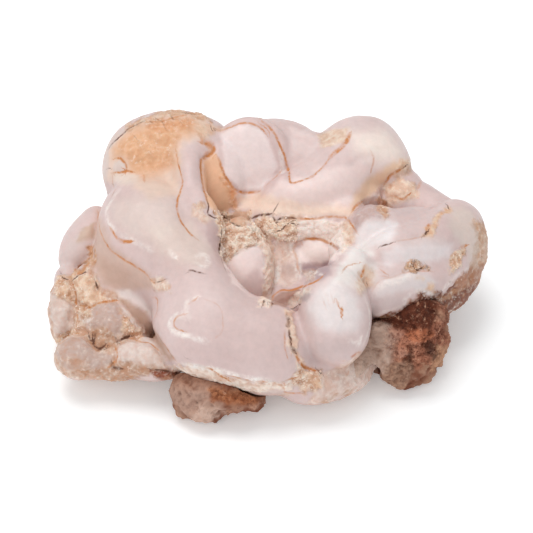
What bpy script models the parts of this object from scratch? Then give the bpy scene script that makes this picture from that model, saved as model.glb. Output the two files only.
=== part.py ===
"""Pink chalcedony: one hand specimen of rounded, waxy pink chalcedony, grown as a bowl
of lobes on a piece of its reddish brown host rock.

The tables are in millimetres and the scene is in metres. +Z is up and the front is at -Y.
The origin is on the surface that the stone rests on, in the middle of the stone's outline.
"""

import math

import bmesh
import bpy
import numpy as np
from mathutils import Euler, Matrix, Vector, noise

# Driving dimensions, in millimetres
MM = 0.001
MIDDLE_X = 0.4
MIDDLE_Y = 0.8
LEAN = 48.0                # degrees: the rounded faces look up and to the front
STONE_VOXEL = 0.9
ROCK_VOXEL = 1.1
SEAM_VOXEL = 1.4
SEAM_CLEARANCE = 0.75      # how far the rock is cut back from the chalcedony
PIT_BLEND = 0.6
ROCK_ROUGHNESS = 1.1       # height of the broken surface of the rock
ROCK_GRAIN = 5.5           # width of its larger lumps
STONE_ROUGHNESS = 0.12
STONE_GRAIN = 4.0
BASE_BLOCK = (140.0, 120.0, 30.0)
STONE_TRIANGLES = 6400
ROCK_TRIANGLES = 2300
SEAM_TRIANGLES = 2600

PINK = (0.76, 0.60, 0.58, 1.0)
ROCK_BROWN = (0.25, 0.085, 0.05, 1.0)


def facing(x, y, z, wide, tall, deep, roll=0.0):
    """A lobe whose face leans back by LEAN; roll turns it in the plane of that face."""
    return (x, y, z), (wide, tall, deep), (LEAN, roll)


def level(x, y, z, wide, long, high):
    """A lobe that lies level."""
    return (x, y, z), (wide, long, high), (0.0, 0.0)


# Lobes of the chalcedony, in groups. Each group has its name, how softly its own lobes
# run together, how softly it runs into the groups before it, and its lobes: centre, half
# sizes and turn.
CHALCEDONY = [
    ("bowl floor", 4, 1, [
        level(6, 6, 11, 21, 17, 6.5),
        level(27, 10, 15, 10, 9, 6),
        level(6, -9, 9.5, 13, 9, 5),
        level(20, -6, 12, 8, 9, 5),
    ]),
    ("back skirt", 6, 3, [
        level(-29, 31, 15, 9, 8, 8),
        level(-13, 34, 14.5, 9, 7, 8),
        level(3, 33, 15.5, 9, 7, 8),
        level(17, 32, 16, 8, 6.5, 8),
        level(29, 25, 15.5, 7.5, 6.5, 7),
        level(38, 14, 13, 6, 6.5, 6.5),
    ]),
    ("left block", 6, 3, [level(-35.5, -11, 10, 10, 16, 6.5)]),
    ("left side", 6, 3, [
        level(-33, 16, 14, 6, 7, 7),
        level(-36, 4, 12, 6, 7, 6.5),
    ]),
    ("dome", 6, 3, [
        facing(-26.5, 22.7, 25, 12.2, 13.2, 11),
        facing(-19.2, 23.4, 26, 8.7, 12, 10),
    ]),
    ("flank", 8, 5, [
        facing(-28.6, 5.2, 24, 10, 10, 10),
        facing(-23.4, -2.8, 21, 12.5, 12, 11),
        facing(-14, -16.7, 20, 11, 10, 9),
    ]),
    ("inner fold", 6, 2, [
        facing(-18.3, 19.7, 30.5, 3.8, 7, 4.5),
        facing(-17.8, 10.1, 29.5, 3.8, 8, 5),
        facing(-14.6, -0.9, 27.5, 4.5, 8, 5, 12),
    ]),
    ("front swelling", 8, 7, [
        facing(-12.4, -21.7, 18, 12.5, 12, 10),
        facing(-4.4, -24.8, 17, 12, 11.5, 9.5, -15),
        facing(1.1, -28, 15.5, 8, 9, 8),
    ]),
    ("rusty wedge", 3, 1.2, [
        facing(-11.4, 18.5, 25.5, 6.5, 9.5, 5),
        facing(-10.7, 15.9, 20, 5, 5, 4),
    ]),
    ("back lobe", 3, 0.7, [facing(0.1, 24.8, 24.5, 15, 11.3, 8)]),
    ("round face", 3, 0.5, [facing(-4.1, 21, 30, 9.4, 9.8, 3)]),
    ("middle lobe", 3, 0.7, [facing(9.4, 24, 27, 8, 6.8, 6)]),
    ("arm", 6, 0.8, [
        facing(9.3, 14.1, 25.5, 10, 5, 7, 8),
        facing(18, 21, 27, 12, 8, 8, 27),
        facing(19.8, 28.3, 28, 8, 6, 6, 15),
        facing(26, 28.8, 27, 6.8, 6, 7, -20),
    ]),
    ("side lumps", 2, 1, [
        facing(30.8, 14.8, 22.5, 4.2, 5, 4),
        level(32.4, 19, 22, 4, 5, 5),
    ]),
    ("grey lump", 2, 1, [facing(22.8, 14.2, 23, 4.5, 3.4, 3.5, 35)]),
    ("slab", 4, 1, [
        level(35, 15.5, 21, 4.5, 5, 5),
        level(38.1, 11.5, 21, 5, 5.5, 5.5),
        level(41.1, 10.6, 20, 5, 5, 5),
    ]),
    ("right shelf", 4, 1, [level(35, 3, 17, 14, 10, 8)]),
    ("upper finger", 4, 1, [
        level(22.6, -0.3, 27, 5, 5, 5.5),
        level(28.8, 0, 25.5, 6, 4.5, 5),
        level(34.3, 3.1, 24, 5, 4.5, 5),
    ]),
    ("middle finger", 6, 0.8, [
        level(26.8, -9, 26, 5, 4.5, 5.5),
        level(32.4, -6.5, 25.5, 6, 5, 5.5),
        level(38.1, -1.4, 24, 6, 6, 6),
        level(42.5, 5.6, 22.5, 6, 6, 6),
    ]),
    ("lower finger", 6, 1.5, [
        level(24.4, -16.9, 22, 4.5, 4.5, 5.5),
        level(29.4, -14.5, 22.5, 5, 4.5, 5),
        level(35, -11.4, 21.5, 5, 4.5, 4.5),
        level(40.6, -5.7, 20, 5, 5, 5),
    ]),
    ("right end", 5, 4, [level(44.9, 3.4, 18, 5.2, 8, 9)]),
    ("neck", 6, 3, [level(18.2, -14, 26, 5, 5, 6)]),
    ("white ball", 6, 1, [
        facing(14.9, -25.8, 21, 7.8, 9, 8),
        level(14.3, -20.5, 25, 6, 6, 7),
    ]),
    ("apron", 4, 3, [facing(-31.5, -3.9, 15, 10, 10, 8)]),
    ("left upper lump", 2, 1, [facing(-43.5, 5, 15, 4.7, 5.9, 5, -25)]),
    ("left lower lump", 2, 1, [facing(-46.3, -11, 11, 3.4, 7.8, 5)]),
    ("left crust", 3, 1, [
        facing(-38.7, -7.6, 14, 7, 7, 6),
        facing(-34.5, -15.3, 11, 9, 7, 7),
    ]),
    ("left foot", 3, 1, [
        facing(-42.8, -24.4, 9.5, 4.8, 5, 5),
        facing(-26.2, -25.6, 10, 7.5, 4.8, 5, -8),
        facing(-35.2, -25.2, 9, 7, 4, 4),
    ]),
    ("left bulb in the bowl", 2, 0.6, [facing(-5, -3.2, 16.5, 5.6, 9, 4.3, 8)]),
    ("right bulb in the bowl", 2, 0.6, [facing(12.1, 2.7, 17, 5.6, 4.8, 4.2)]),
    ("trough", 3, 1, [facing(3.2, 2.5, 13, 5, 8, 4)]),
    ("ledge in the bowl", 3, 0.6, [facing(5.1, -1.3, 14.5, 7.5, 4.8, 3.2, 21)]),
    ("lens below the ledge", 3, 0.8, [facing(7.6, -11.4, 14.5, 3.4, 2.6, 2.5)]),
    ("crystal crust", 4, 1, [
        facing(-2.3, 9.8, 17, 9.5, 5, 4, 8),
        facing(7.5, 12.3, 17, 8, 4, 4),
        facing(17.5, 12, 19, 6, 4, 5),
    ]),
    ("brown bead", 4, 0.5, [facing(-6.6, 10.6, 21.5, 3, 2.2, 2.5)]),
    ("front foot", 4, 2, [facing(9.8, -30.2, 9, 8.5, 6.2, 6)]),
]

PITS = [facing(4.5, -13.4, 16.5, 3.8, 1.5, 3.5, 15)]

HOST_ROCK = [
    ("front stub", 4, 2, [facing(-10.2, -32.1, 6.5, 11, 6.5, 7, 8)]),
    ("middle", 6, 3, [
        level(2, -6, 5, 29, 20, 9),
        level(17.2, -25.1, 6, 8, 8, 8),
    ]),
    ("back", 6, 3, [
        level(-4, 20, 6, 33, 14, 13),
        level(-26, 2, 6, 14, 15, 10),
    ]),
    ("right", 4, 2, [
        level(27.9, -20.8, 9, 8, 9, 11),
        level(33.1, -16.4, 10, 7, 9, 13),
        level(44, -4.1, 13, 4.5, 7, 7),
        level(30, 6, 7, 14, 18, 11),
    ]),
]


def lobe_turn(turn):
    """Rotation of a lobe: first its roll in its own face, then its lean."""
    lean, roll = turn
    return Euler((math.radians(lean), 0, 0)).to_matrix() @ Euler((0, 0, math.radians(roll))).to_matrix()


def lobe_distance(points, lobe):
    """About how far points are outside one lobe; less than zero is inside."""
    centre, half_sizes, turn = lobe
    own = (points - np.array(centre)) @ np.array(lobe_turn(turn))
    scaled = np.linalg.norm(own / half_sizes, axis=1)
    slope = np.linalg.norm(own / np.square(half_sizes), axis=1)
    return scaled * (scaled - 1) / np.maximum(slope, 1e-9)


def blend(first, second, softness):
    """The nearer of two surfaces, run together over a width of softness."""
    overlap = np.maximum(softness - np.abs(first - second), 0) / softness
    return np.minimum(first, second) - overlap**2 * softness / 4


def surface_distance(points, groups, pits):
    """Distance of points from the surface of all the lobes run together, less the pits."""
    whole = None
    for _, inner_softness, outer_softness, lobes in groups:
        group = lobe_distance(points, lobes[0])
        for lobe in lobes[1:]:
            group = blend(group, lobe_distance(points, lobe), inner_softness)
        whole = group if whole is None else blend(whole, group, outer_softness)
    for pit in pits:
        whole = -blend(-whole, lobe_distance(points, pit), PIT_BLEND)
    return whole


def relief(points, roughness, grain):
    """Height of a broken surface at points, from seeded noise of two widths."""
    heights = []
    for point in points:
        place = Vector(point)
        coarse = noise.noise(place / grain)
        fine = noise.noise(place / (grain * 0.4) + Vector((7.3, 1.9, 4.1)))
        heights.append(roughness * (coarse + 0.45 * fine))
    return np.array(heights)


def ease(obj, groups, pits, height, steps=6, reach=0.8):
    """Move the vertices of obj onto the surface at a height above the lobes."""
    count = len(obj.data.vertices)
    flat = np.empty(count * 3)
    obj.data.vertices.foreach_get("co", flat)
    points = flat.reshape(count, 3) / MM
    probe = 0.05
    for _ in range(steps):
        here = surface_distance(points, groups, pits)
        slope = np.stack([
            surface_distance(points + probe * axis, groups, pits) - here for axis in np.eye(3)
        ], axis=1) / probe
        steepness = np.maximum(np.square(slope).sum(axis=1), 0.25)
        move = np.clip((here - height(points)) / steepness, -reach, reach)
        points = points - move[:, None] * slope
    obj.data.vertices.foreach_set("co", (points * MM).ravel())
    obj.data.update()


def new_object(name, mesh, collection):
    obj = bpy.data.objects.new(name, mesh)
    collection.objects.link(obj)
    return obj


def apply_modifiers(obj):
    """Replace the mesh of obj by what its modifiers make of it."""
    depsgraph = bpy.context.evaluated_depsgraph_get()
    made = bpy.data.meshes.new_from_object(obj.evaluated_get(depsgraph))
    obj.modifiers.clear()
    obj.data = made


def remesh(obj, voxel):
    modifier = obj.modifiers.new("join", "REMESH")
    modifier.mode = "VOXEL"
    modifier.voxel_size = voxel * MM
    apply_modifiers(obj)


def drop_crumbs(obj):
    """Delete everything in obj but its largest connected body."""
    bm = bmesh.new()
    bm.from_mesh(obj.data)
    bodies = []
    waiting = set(bm.verts)
    while waiting:
        body = set()
        edge_of_body = [waiting.pop()]
        while edge_of_body:
            vertex = edge_of_body.pop()
            body.add(vertex)
            for edge in vertex.link_edges:
                other = edge.other_vert(vertex)
                if other in waiting:
                    waiting.remove(other)
                    edge_of_body.append(other)
        bodies.append(body)
    largest = max(bodies, key=len)
    crumbs = [vertex for body in bodies if body is not largest for vertex in body]
    bmesh.ops.delete(bm, geom=crumbs, context="VERTS")
    bm.to_mesh(obj.data)
    bm.free()


def thin_out(obj, triangles):
    """Bring obj down to a number of triangles."""
    bm = bmesh.new()
    bm.from_mesh(obj.data)
    bmesh.ops.triangulate(bm, faces=bm.faces)
    bm.to_mesh(obj.data)
    bm.free()
    modifier = obj.modifiers.new("thin out", "DECIMATE")
    modifier.ratio = min(1.0, triangles / len(obj.data.polygons))
    apply_modifiers(obj)


def cut(obj, cutter):
    modifier = obj.modifiers.new("cut by " + cutter.name, "BOOLEAN")
    modifier.operation = "DIFFERENCE"
    modifier.solver = "EXACT"
    modifier.object = cutter
    apply_modifiers(obj)


def ball_mesh():
    """A ball of radius 1, the start of every lobe."""
    bm = bmesh.new()
    bmesh.ops.create_uvsphere(bm, u_segments=48, v_segments=24, radius=1)
    mesh = bpy.data.meshes.new("ball")
    bm.to_mesh(mesh)
    bm.free()
    return mesh


def lobes_joined(name, groups, pits, voxel, height, collection):
    """One closed body from the lobes of all groups, its surface at a height above them."""
    ball = ball_mesh()
    bm = bmesh.new()
    for _, _, _, lobes in groups:
        for centre, half_sizes, turn in lobes:
            size = Matrix.Diagonal(Vector(half_sizes) * MM).to_4x4()
            lobe = ball.copy()
            lobe.transform(Matrix.Translation(Vector(centre) * MM) @ lobe_turn(turn).to_4x4() @ size)
            bm.from_mesh(lobe)
            bpy.data.meshes.remove(lobe)
    mesh = bpy.data.meshes.new(name)
    bm.to_mesh(mesh)
    bm.free()
    bpy.data.meshes.remove(ball)
    obj = new_object(name, mesh, collection)
    for _ in range(2):
        remesh(obj, voxel)
        ease(obj, groups, pits, height)
    return obj


def principled(name, colour, roughness):
    material = bpy.data.materials.new(name)
    material.use_nodes = True
    shader = material.node_tree.nodes["Principled BSDF"]
    shader.inputs["Base Color"].default_value = colour
    shader.inputs["Roughness"].default_value = roughness
    shader.inputs["Metallic"].default_value = 0.0
    material.diffuse_color = colour
    return material


def finish(obj, material):
    """Move obj to the origin of the stone, and give it its material and smooth shading."""
    obj.data.transform(Matrix.Translation((-MIDDLE_X * MM, -MIDDLE_Y * MM, 0)))
    obj.data.materials.clear()
    obj.data.materials.append(material)
    obj.data.shade_smooth()


def hide_cutter(obj):
    obj.hide_render = True
    obj.display_type = "WIRE"


def make_chalcedony(collection):
    def height(points):
        return relief(points, STONE_ROUGHNESS, STONE_GRAIN)

    stone = lobes_joined("chalcedony", CHALCEDONY, PITS, STONE_VOXEL, height, collection)
    thin_out(stone, STONE_TRIANGLES)
    drop_crumbs(stone)
    return stone


def make_seam_cutter(collection):
    """The chalcedony again, a little larger, to leave room for it in the rock."""
    def height(points):
        return np.full(len(points), SEAM_CLEARANCE)

    cutter = lobes_joined("seam_cutter", CHALCEDONY, PITS, SEAM_VOXEL, height, collection)
    thin_out(cutter, SEAM_TRIANGLES)
    hide_cutter(cutter)
    return cutter


def make_base_cutter(collection):
    """A block whose top is the surface that the stone rests on."""
    bm = bmesh.new()
    size = Matrix.Diagonal(Vector(BASE_BLOCK) * MM).to_4x4()
    place = Matrix.Translation((0, 0, -BASE_BLOCK[2] * MM / 2))
    bmesh.ops.create_cube(bm, size=1, matrix=place @ size)
    mesh = bpy.data.meshes.new("base_cutter")
    bm.to_mesh(mesh)
    bm.free()
    cutter = new_object("base_cutter", mesh, collection)
    hide_cutter(cutter)
    return cutter


def make_host_rock(collection, cutters):
    def height(points):
        return relief(points, ROCK_ROUGHNESS, ROCK_GRAIN)

    rock = lobes_joined("host_rock", HOST_ROCK, [], ROCK_VOXEL, height, collection)
    thin_out(rock, ROCK_TRIANGLES)
    for cutter in cutters:
        cut(rock, cutter)
    drop_crumbs(rock)
    return rock


def main():
    for obj in list(bpy.data.objects):
        bpy.data.objects.remove(obj, do_unlink=True)
    parts = bpy.data.collections.new("pink_chalcedony")
    cutters = bpy.data.collections.new("cutters")
    bpy.context.scene.collection.children.link(parts)
    bpy.context.scene.collection.children.link(cutters)
    stone = make_chalcedony(parts)
    seam = make_seam_cutter(cutters)
    base = make_base_cutter(cutters)
    rock = make_host_rock(parts, [seam, base])
    finish(stone, principled("pink chalcedony", PINK, 0.35))
    finish(rock, principled("host rock", ROCK_BROWN, 0.9))


main()
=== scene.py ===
"""Pink chalcedony on its host rock, dressed: the waxy lobes with their stains, hairlines and
crusts, the crystal grains in the bowl, and the rough rock.

Tables and surface work are in millimetres, in the frame of the stone before it is moved
to its origin; Blender's objects are in metres.
"""

import math
import random

import bmesh
import bpy
import numpy as np
from mathutils import Euler, Matrix, Vector, noise
from mathutils.bvhtree import BVHTree


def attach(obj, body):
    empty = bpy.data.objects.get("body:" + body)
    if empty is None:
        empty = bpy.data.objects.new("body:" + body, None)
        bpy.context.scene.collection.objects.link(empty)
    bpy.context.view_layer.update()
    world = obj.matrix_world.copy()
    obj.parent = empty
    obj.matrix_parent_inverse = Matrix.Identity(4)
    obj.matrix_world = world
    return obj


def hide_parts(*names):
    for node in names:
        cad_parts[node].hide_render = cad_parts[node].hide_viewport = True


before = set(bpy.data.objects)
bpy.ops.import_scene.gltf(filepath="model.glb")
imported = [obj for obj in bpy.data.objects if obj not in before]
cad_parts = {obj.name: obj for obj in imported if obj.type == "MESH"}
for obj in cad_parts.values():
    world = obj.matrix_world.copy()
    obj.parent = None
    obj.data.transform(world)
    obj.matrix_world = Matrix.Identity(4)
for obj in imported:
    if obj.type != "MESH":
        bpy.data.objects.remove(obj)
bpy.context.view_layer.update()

# Driving dimensions, in millimetres
MM = 0.001
MIDDLE = np.array([0.4, 0.8, 0.0])
LEAN = 48.0
FIRST_VOXEL = 0.9
STONE_VOXEL = 0.45
ROCK_VOXEL = 0.5
PIT_BLEND = 0.6
FAR = 12.0                 # beyond this a lobe has no say
STONE_TRIANGLES = 190000
FULL_TURN = (6.28, 6.28, 6.28)

# The picture that the stone is matched to
PICTURE = 533.0            # pixels along a side
SPAN = 122.53              # millimetres of the target plane across the picture
DISTANCE = 500.0
ELEVATION = 42.0           # degrees
TARGET = np.array([-0.3, 0.0, 15.0])


def facing(x, y, z, wide, tall, deep, roll=0.0):
    """A lobe whose face leans back by LEAN; roll turns it in the plane of that face."""
    return (x, y, z), (wide, tall, deep), (LEAN, roll)


def level(x, y, z, wide, long, high):
    """A lobe that lies level."""
    return (x, y, z), (wide, long, high), (0.0, 0.0)


# Lobes of the chalcedony, in groups. Each group has its name, how softly its own lobes
# run together, how softly it runs into the groups before it, and its lobes: centre, half
# sizes and turn.
CHALCEDONY = [
    ("bowl floor", 4, 1, [
        level(6, 6, 11, 21, 17, 6.5),
        level(27, 10, 15, 10, 9, 6),
        level(6, -9, 9.5, 13, 9, 5),
        level(20, -6, 12, 8, 9, 5),
    ]),
    ("back skirt", 6, 3, [
        level(-29, 31, 15, 9, 8, 8),
        level(-13, 34, 14.5, 9, 7, 8),
        level(3, 33, 15.5, 9, 7, 8),
        level(17, 32, 16, 8, 6.5, 8),
        level(29, 25, 15.5, 7.5, 6.5, 7),
        level(38, 14, 13, 6, 6.5, 6.5),
    ]),
    ("left block", 6, 3, [level(-35.5, -11, 10, 10, 16, 6.5)]),
    ("left side", 6, 3, [
        level(-33, 16, 14, 6, 7, 7),
        level(-36, 4, 12, 6, 7, 6.5),
    ]),
    ("dome", 6, 3, [
        facing(-26.5, 22.7, 25, 12.2, 13.2, 11),
        facing(-19.2, 23.4, 26, 8.7, 12, 10),
        facing(-14.8, 24.3, 27, 5.5, 8.3, 6, -20),
    ]),
    ("flank", 8, 5, [
        facing(-28.6, 5.2, 24, 10, 10, 10),
        facing(-23.4, -2.8, 21, 12.5, 12, 11),
        facing(-15.5, -16.7, 20, 9, 10, 8.5),
    ]),
    ("inner fold", 6, 2, [
        facing(-18.3, 19.7, 30.5, 3.8, 7, 4.5),
        facing(-17.8, 10.1, 29.5, 3.8, 8, 5),
        facing(-14.6, -0.9, 27.5, 4.5, 8, 5, 12),
    ]),
    ("front swelling", 7, 5, [
        facing(-13.9, -22.9, 16.9, 11, 10, 10),
        facing(-4.4, -26.4, 15.4, 12, 9, 9.2, -15),
        facing(1.1, -28, 15.5, 8, 9, 8),
    ]),
    ("rusty wedge", 3, 1.2, [
        facing(-11.4, 17.2, 26.7, 6.5, 9.5, 5),
        facing(-10.7, 14.8, 21, 5, 5, 4),
    ]),
    ("back lobe", 5, 0.7, [
        facing(0.1, 24.8, 24.5, 15, 11.3, 8),
        facing(0, 14.2, 21.5, 9, 5, 3.5),
    ]),
    ("round face", 3, 0.5, [facing(-4.1, 21, 30, 9.4, 9.8, 3)]),
    ("middle lobe", 3, 0.7, [facing(9.4, 24, 27, 8, 6.8, 6)]),
    ("arm", 6, 0.8, [
        facing(9.3, 14.1, 25.5, 10, 5, 7, 8),
        facing(18, 21, 27, 12, 8, 8, 27),
        facing(19.8, 28.3, 28, 8, 6, 6, 15),
        facing(24.7, 27.5, 26.6, 6.6, 5.6, 7, -25),
        facing(29.3, 22.3, 25, 3.5, 4, 5),
        facing(10, 12.5, 22.3, 13, 5.5, 5.5, 4),
    ]),
    ("side lumps", 2, 1, [
        facing(30.8, 14.8, 22.5, 4.2, 5, 4),
        level(32.4, 19, 22, 4, 5, 5),
    ]),
    ("grey lump", 2, 1, [facing(22.8, 14.2, 23, 4.5, 3.4, 3.5, 35)]),
    ("slab", 4, 1, [
        level(35, 15.5, 21, 4.5, 5, 5),
        level(38.1, 10.9, 20.5, 5, 5.3, 5.2),
        level(41.1, 10, 19.5, 5, 4.8, 4.8),
    ]),
    ("right shelf", 4, 1, [level(35, 3, 17, 14, 10, 8)]),
    ("upper finger", 4, 1, [
        level(22.6, -0.3, 27, 5, 5, 5.5),
        level(28.8, 0, 25.5, 6, 4.5, 5),
        level(34.3, 3.1, 24, 5, 4.5, 5),
    ]),
    ("middle finger", 6, 0.8, [
        level(26.8, -9, 26, 5, 4.5, 5.5),
        level(32.4, -6.5, 25.5, 6, 5, 5.5),
        level(38.1, -1.4, 24, 6, 6, 6),
        level(42.5, 5.6, 22.5, 6, 6, 6),
    ]),
    ("lower finger", 6, 1.5, [
        level(24.4, -16.9, 22, 4.5, 4.5, 5.5),
        level(29.4, -14.5, 22.5, 5, 4.5, 5),
        level(35, -11.4, 21.5, 5, 4.5, 4.5),
        level(40.6, -5.7, 20, 5, 5, 5),
    ]),
    ("below the lip", 5, 1.5, [
        level(27.9, -12.4, 13.0, 6, 5, 5),
        level(33.8, -10.2, 14.0, 6, 5, 5),
        level(39.7, -7.2, 14.0, 6, 5, 4),
        level(43.2, -2.8, 15.2, 4, 3.5, 3.8),
    ]),
    ("right end", 5, 4, [level(44.9, 3.4, 18, 5.2, 8, 9)]),
    ("neck", 6, 3, [
        level(18.2, -14, 26, 5, 5, 6),
        facing(19, -3, 22, 5, 5, 4.5),
        facing(21.8, -1, 22.8, 4.5, 4.5, 4.5),
    ]),
    ("white ball", 6, 1, [
        facing(14.9, -25.8, 21, 7.8, 9, 8),
        level(14.3, -20.5, 25, 6, 6, 7),
    ]),
    ("apron", 4, 3, [facing(-31.5, -3.9, 15, 10, 10, 8)]),
    ("left upper lump", 5, 1, [
        facing(-43.5, 5, 15, 4.7, 5.9, 5, -25),
        facing(-40.8, 10.5, 16, 4.5, 6.5, 5, -15),
    ]),
    ("left lower lump", 3, 1, [
        facing(-46.3, -11, 11, 3.4, 7.8, 5),
        facing(-45.8, -2, 12, 3.2, 4, 4),
    ]),
    ("left crust", 3, 1, [
        facing(-38.7, -7.6, 14, 7, 7, 6),
        facing(-34.5, -15.3, 11, 9, 7, 7),
    ]),
    ("left foot", 3, 1, [
        facing(-42.8, -24.4, 9.5, 4.8, 5, 5),
        facing(-26.2, -25.6, 10, 7.5, 4.8, 5, -8),
        facing(-35.2, -25.2, 9, 7, 4, 4),
    ]),
    ("left bulb in the bowl", 2, 0.6, [facing(-5.3, -4.1, 18.2, 6.4, 11.5, 4.9, 8)]),
    ("right bulb in the bowl", 2, 0.6, [facing(12.8, 2.4, 17.2, 6.4, 5.2, 4.4)]),
    ("trough", 3, 1, [facing(3.2, 1.0, 14.4, 5, 8, 4)]),
    ("ledge in the bowl", 3, 0.6, [facing(5.1, -1.3, 14.5, 7.5, 4.8, 3.2, 21)]),
    ("lens below the ledge", 3, 0.8, [facing(7.6, -11.4, 14.5, 3.4, 2.6, 2.5)]),
    ("crystal crust", 4, 1, [
        facing(-3.5, 10.2, 19.5, 8, 4.5, 4, 8),
        facing(5, 6.8, 21.2, 9, 7, 4),
        facing(14, 6.8, 21.8, 8, 6.5, 4),
        facing(18.5, 6.9, 22.9, 4.5, 5, 4.5),
    ]),
    ("brown bead", 4, 0.5, [facing(-6.6, 10.6, 21.5, 3, 2.2, 2.5)]),
    ("front foot", 4, 2, [
        facing(9.8, -30.2, 9, 8.5, 6.2, 6),
        facing(17, -26.5, 7.5, 6, 5, 5),
        facing(22.8, -18.3, 10, 5.4, 7, 4.8),
    ]),
]

# Blocks broken to flat faces: their middles, reaches and seeds
ROCK_BLOCKS = [
    ((34.8, -15.7, 8.0), 13.5, 3),
    ((-14.0, -28.5, 4.0), 9.0, 5),
]

# Parts of the rock that stand too far out: their outlines in the picture, how far forward
# they start, and how far they are drawn back
ROCK_TRIMS = [
    ([(314, 408), (334, 394), (356, 384), (374, 368), (388, 384), (372, 414), (330, 424)], -20.0, 7.0),
    ([(446, 312), (456, 303), (464, 296), (480, 290), (484, 308), (468, 324), (450, 326)], 2.0, 7.0),
]

PITS = [facing(4.5, -13.4, 16.5, 3.8, 1.5, 3.5, 15)]


def lobe_turn(turn):
    """Rotation of a lobe: first its roll in its own face, then its lean."""
    lean, roll = turn
    return Euler((math.radians(lean), 0, 0)).to_matrix() @ Euler((0, 0, math.radians(roll))).to_matrix()


def lobe_distance(points, lobe):
    """About how far points are outside one lobe; less than zero is inside."""
    centre, half_sizes, turn = lobe
    own = (points - np.array(centre)) @ np.array(lobe_turn(turn))
    scaled = np.sqrt(np.square(own / half_sizes).sum(axis=1))
    slope = np.sqrt(np.square(own / np.square(half_sizes)).sum(axis=1))
    return scaled * (scaled - 1) / np.maximum(slope, 1e-9)


def blend(first, second, softness):
    """The nearer of two surfaces, run together over a width of softness."""
    overlap = np.maximum(softness - np.abs(first - second), 0) / softness
    return np.minimum(first, second) - overlap**2 * softness / 4


def close_to(points, lobe):
    centre, half_sizes, _ = lobe
    reach = max(half_sizes) + FAR
    return np.flatnonzero(np.square(points - np.array(centre)).sum(axis=1) < reach**2)


def group_distance(points, group):
    """Distance of points from the surface of one group of lobes, and FAR where none is near."""
    _, softness, _, lobes = group
    whole = np.full(len(points), FAR)
    for lobe in lobes:
        near = close_to(points, lobe)
        whole[near] = blend(whole[near], lobe_distance(points[near], lobe), softness)
    return whole


def surface_distance(points, groups, pits):
    """Distance of points from the surface of all the lobes run together, less the pits."""
    whole = np.full(len(points), FAR)
    for group in groups:
        whole = blend(whole, group_distance(points, group), group[2])
    for pit in pits:
        near = close_to(points, pit)
        whole[near] = -blend(-whole[near], lobe_distance(points[near], pit), PIT_BLEND)
    return whole


def surface_slope(points, groups, pits):
    """The surface distance of points, and the direction in which it grows."""
    probe = 0.05
    here = surface_distance(points, groups, pits)
    slope = np.stack([
        surface_distance(points + probe * axis, groups, pits) - here for axis in np.eye(3)
    ], axis=1) / probe
    return here, slope


def points_of(obj):
    """The vertices of obj in millimetres, in the frame of the tables."""
    flat = np.empty(len(obj.data.vertices) * 3)
    obj.data.vertices.foreach_get("co", flat)
    return flat.reshape(-1, 3) / MM


def put_points(obj, points):
    obj.data.vertices.foreach_set("co", (points * MM).ravel())
    obj.data.update()


def normals_of(obj):
    flat = np.empty(len(obj.data.vertices) * 3)
    obj.data.vertices.foreach_get("normal", flat)
    return flat.reshape(-1, 3)


def ease(obj, groups, pits, steps, reach=0.8):
    """Move the vertices of obj onto the surface of the lobes."""
    points = points_of(obj)
    for _ in range(steps):
        here, slope = surface_slope(points, groups, pits)
        steepness = np.maximum(np.square(slope).sum(axis=1), 0.25)
        move = np.clip(here / steepness, -reach, reach)
        points = points - move[:, None] * slope
    put_points(obj, points)


def made_mesh(name, bm):
    """The mesh that bm holds; bm is let go."""
    mesh = bpy.data.meshes.new(name)
    bm.to_mesh(mesh)
    bm.free()
    return mesh


def new_object(name, mesh):
    obj = bpy.data.objects.new(name, mesh)
    bpy.context.scene.collection.objects.link(obj)
    return obj


def apply_modifiers(obj):
    """Replace the mesh of obj by what its modifiers make of it."""
    depsgraph = bpy.context.evaluated_depsgraph_get()
    made = bpy.data.meshes.new_from_object(obj.evaluated_get(depsgraph))
    obj.modifiers.clear()
    obj.data = made


def remesh(obj, voxel):
    modifier = obj.modifiers.new("join", "REMESH")
    modifier.mode = "VOXEL"
    modifier.voxel_size = voxel * MM
    apply_modifiers(obj)


def ball_mesh():
    """A ball of radius 1, the start of every lobe."""
    bm = bmesh.new()
    bmesh.ops.create_uvsphere(bm, u_segments=48, v_segments=24, radius=1)
    return made_mesh("ball", bm)


def lobes_joined(name, groups):
    """All lobes of groups in one mesh."""
    ball = ball_mesh()
    bm = bmesh.new()
    for _, _, _, lobes in groups:
        for centre, half_sizes, turn in lobes:
            size = Matrix.Diagonal(Vector(half_sizes) * MM).to_4x4()
            lobe = ball.copy()
            lobe.transform(Matrix.Translation(Vector(centre) * MM) @ lobe_turn(turn).to_4x4() @ size)
            bm.from_mesh(lobe)
            bpy.data.meshes.remove(lobe)
    bpy.data.meshes.remove(ball)
    return new_object(name, made_mesh(name, bm))


def soft_noise(points, grain, seed, detail=2):
    """Smooth noise from -1 to 1 at points, its lumps about grain millimetres wide."""
    shift = Vector((seed * 3.7, seed * 1.3, -seed * 2.1))
    return np.array([
        noise.fractal(Vector(p) / grain + shift, 1.0, 2.0, detail) for p in points
    ])


def area(colour, strength, outline, rise=0.0, crust=0.0, soft=2.5):
    """A patch of the surface by its outline in the picture: its colour and how strongly it
    covers, how far its middle swells in millimetres, how crusty it is, and how soft its
    edge is in pixels."""
    return dict(colour=colour, strength=strength, outline=outline, rise=rise, crust=crust, soft=soft)


def line(kind, at, width=0.3, strength=1.0, rise=0.0, spread=0.5):
    """A mark drawn on the stone: kind of colour, its points in the picture, its width and
    strength, and how much it stands proud of the surface over its spread."""
    return dict(kind=kind, at=at, width=width, strength=strength, rise=rise, spread=spread)


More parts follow.
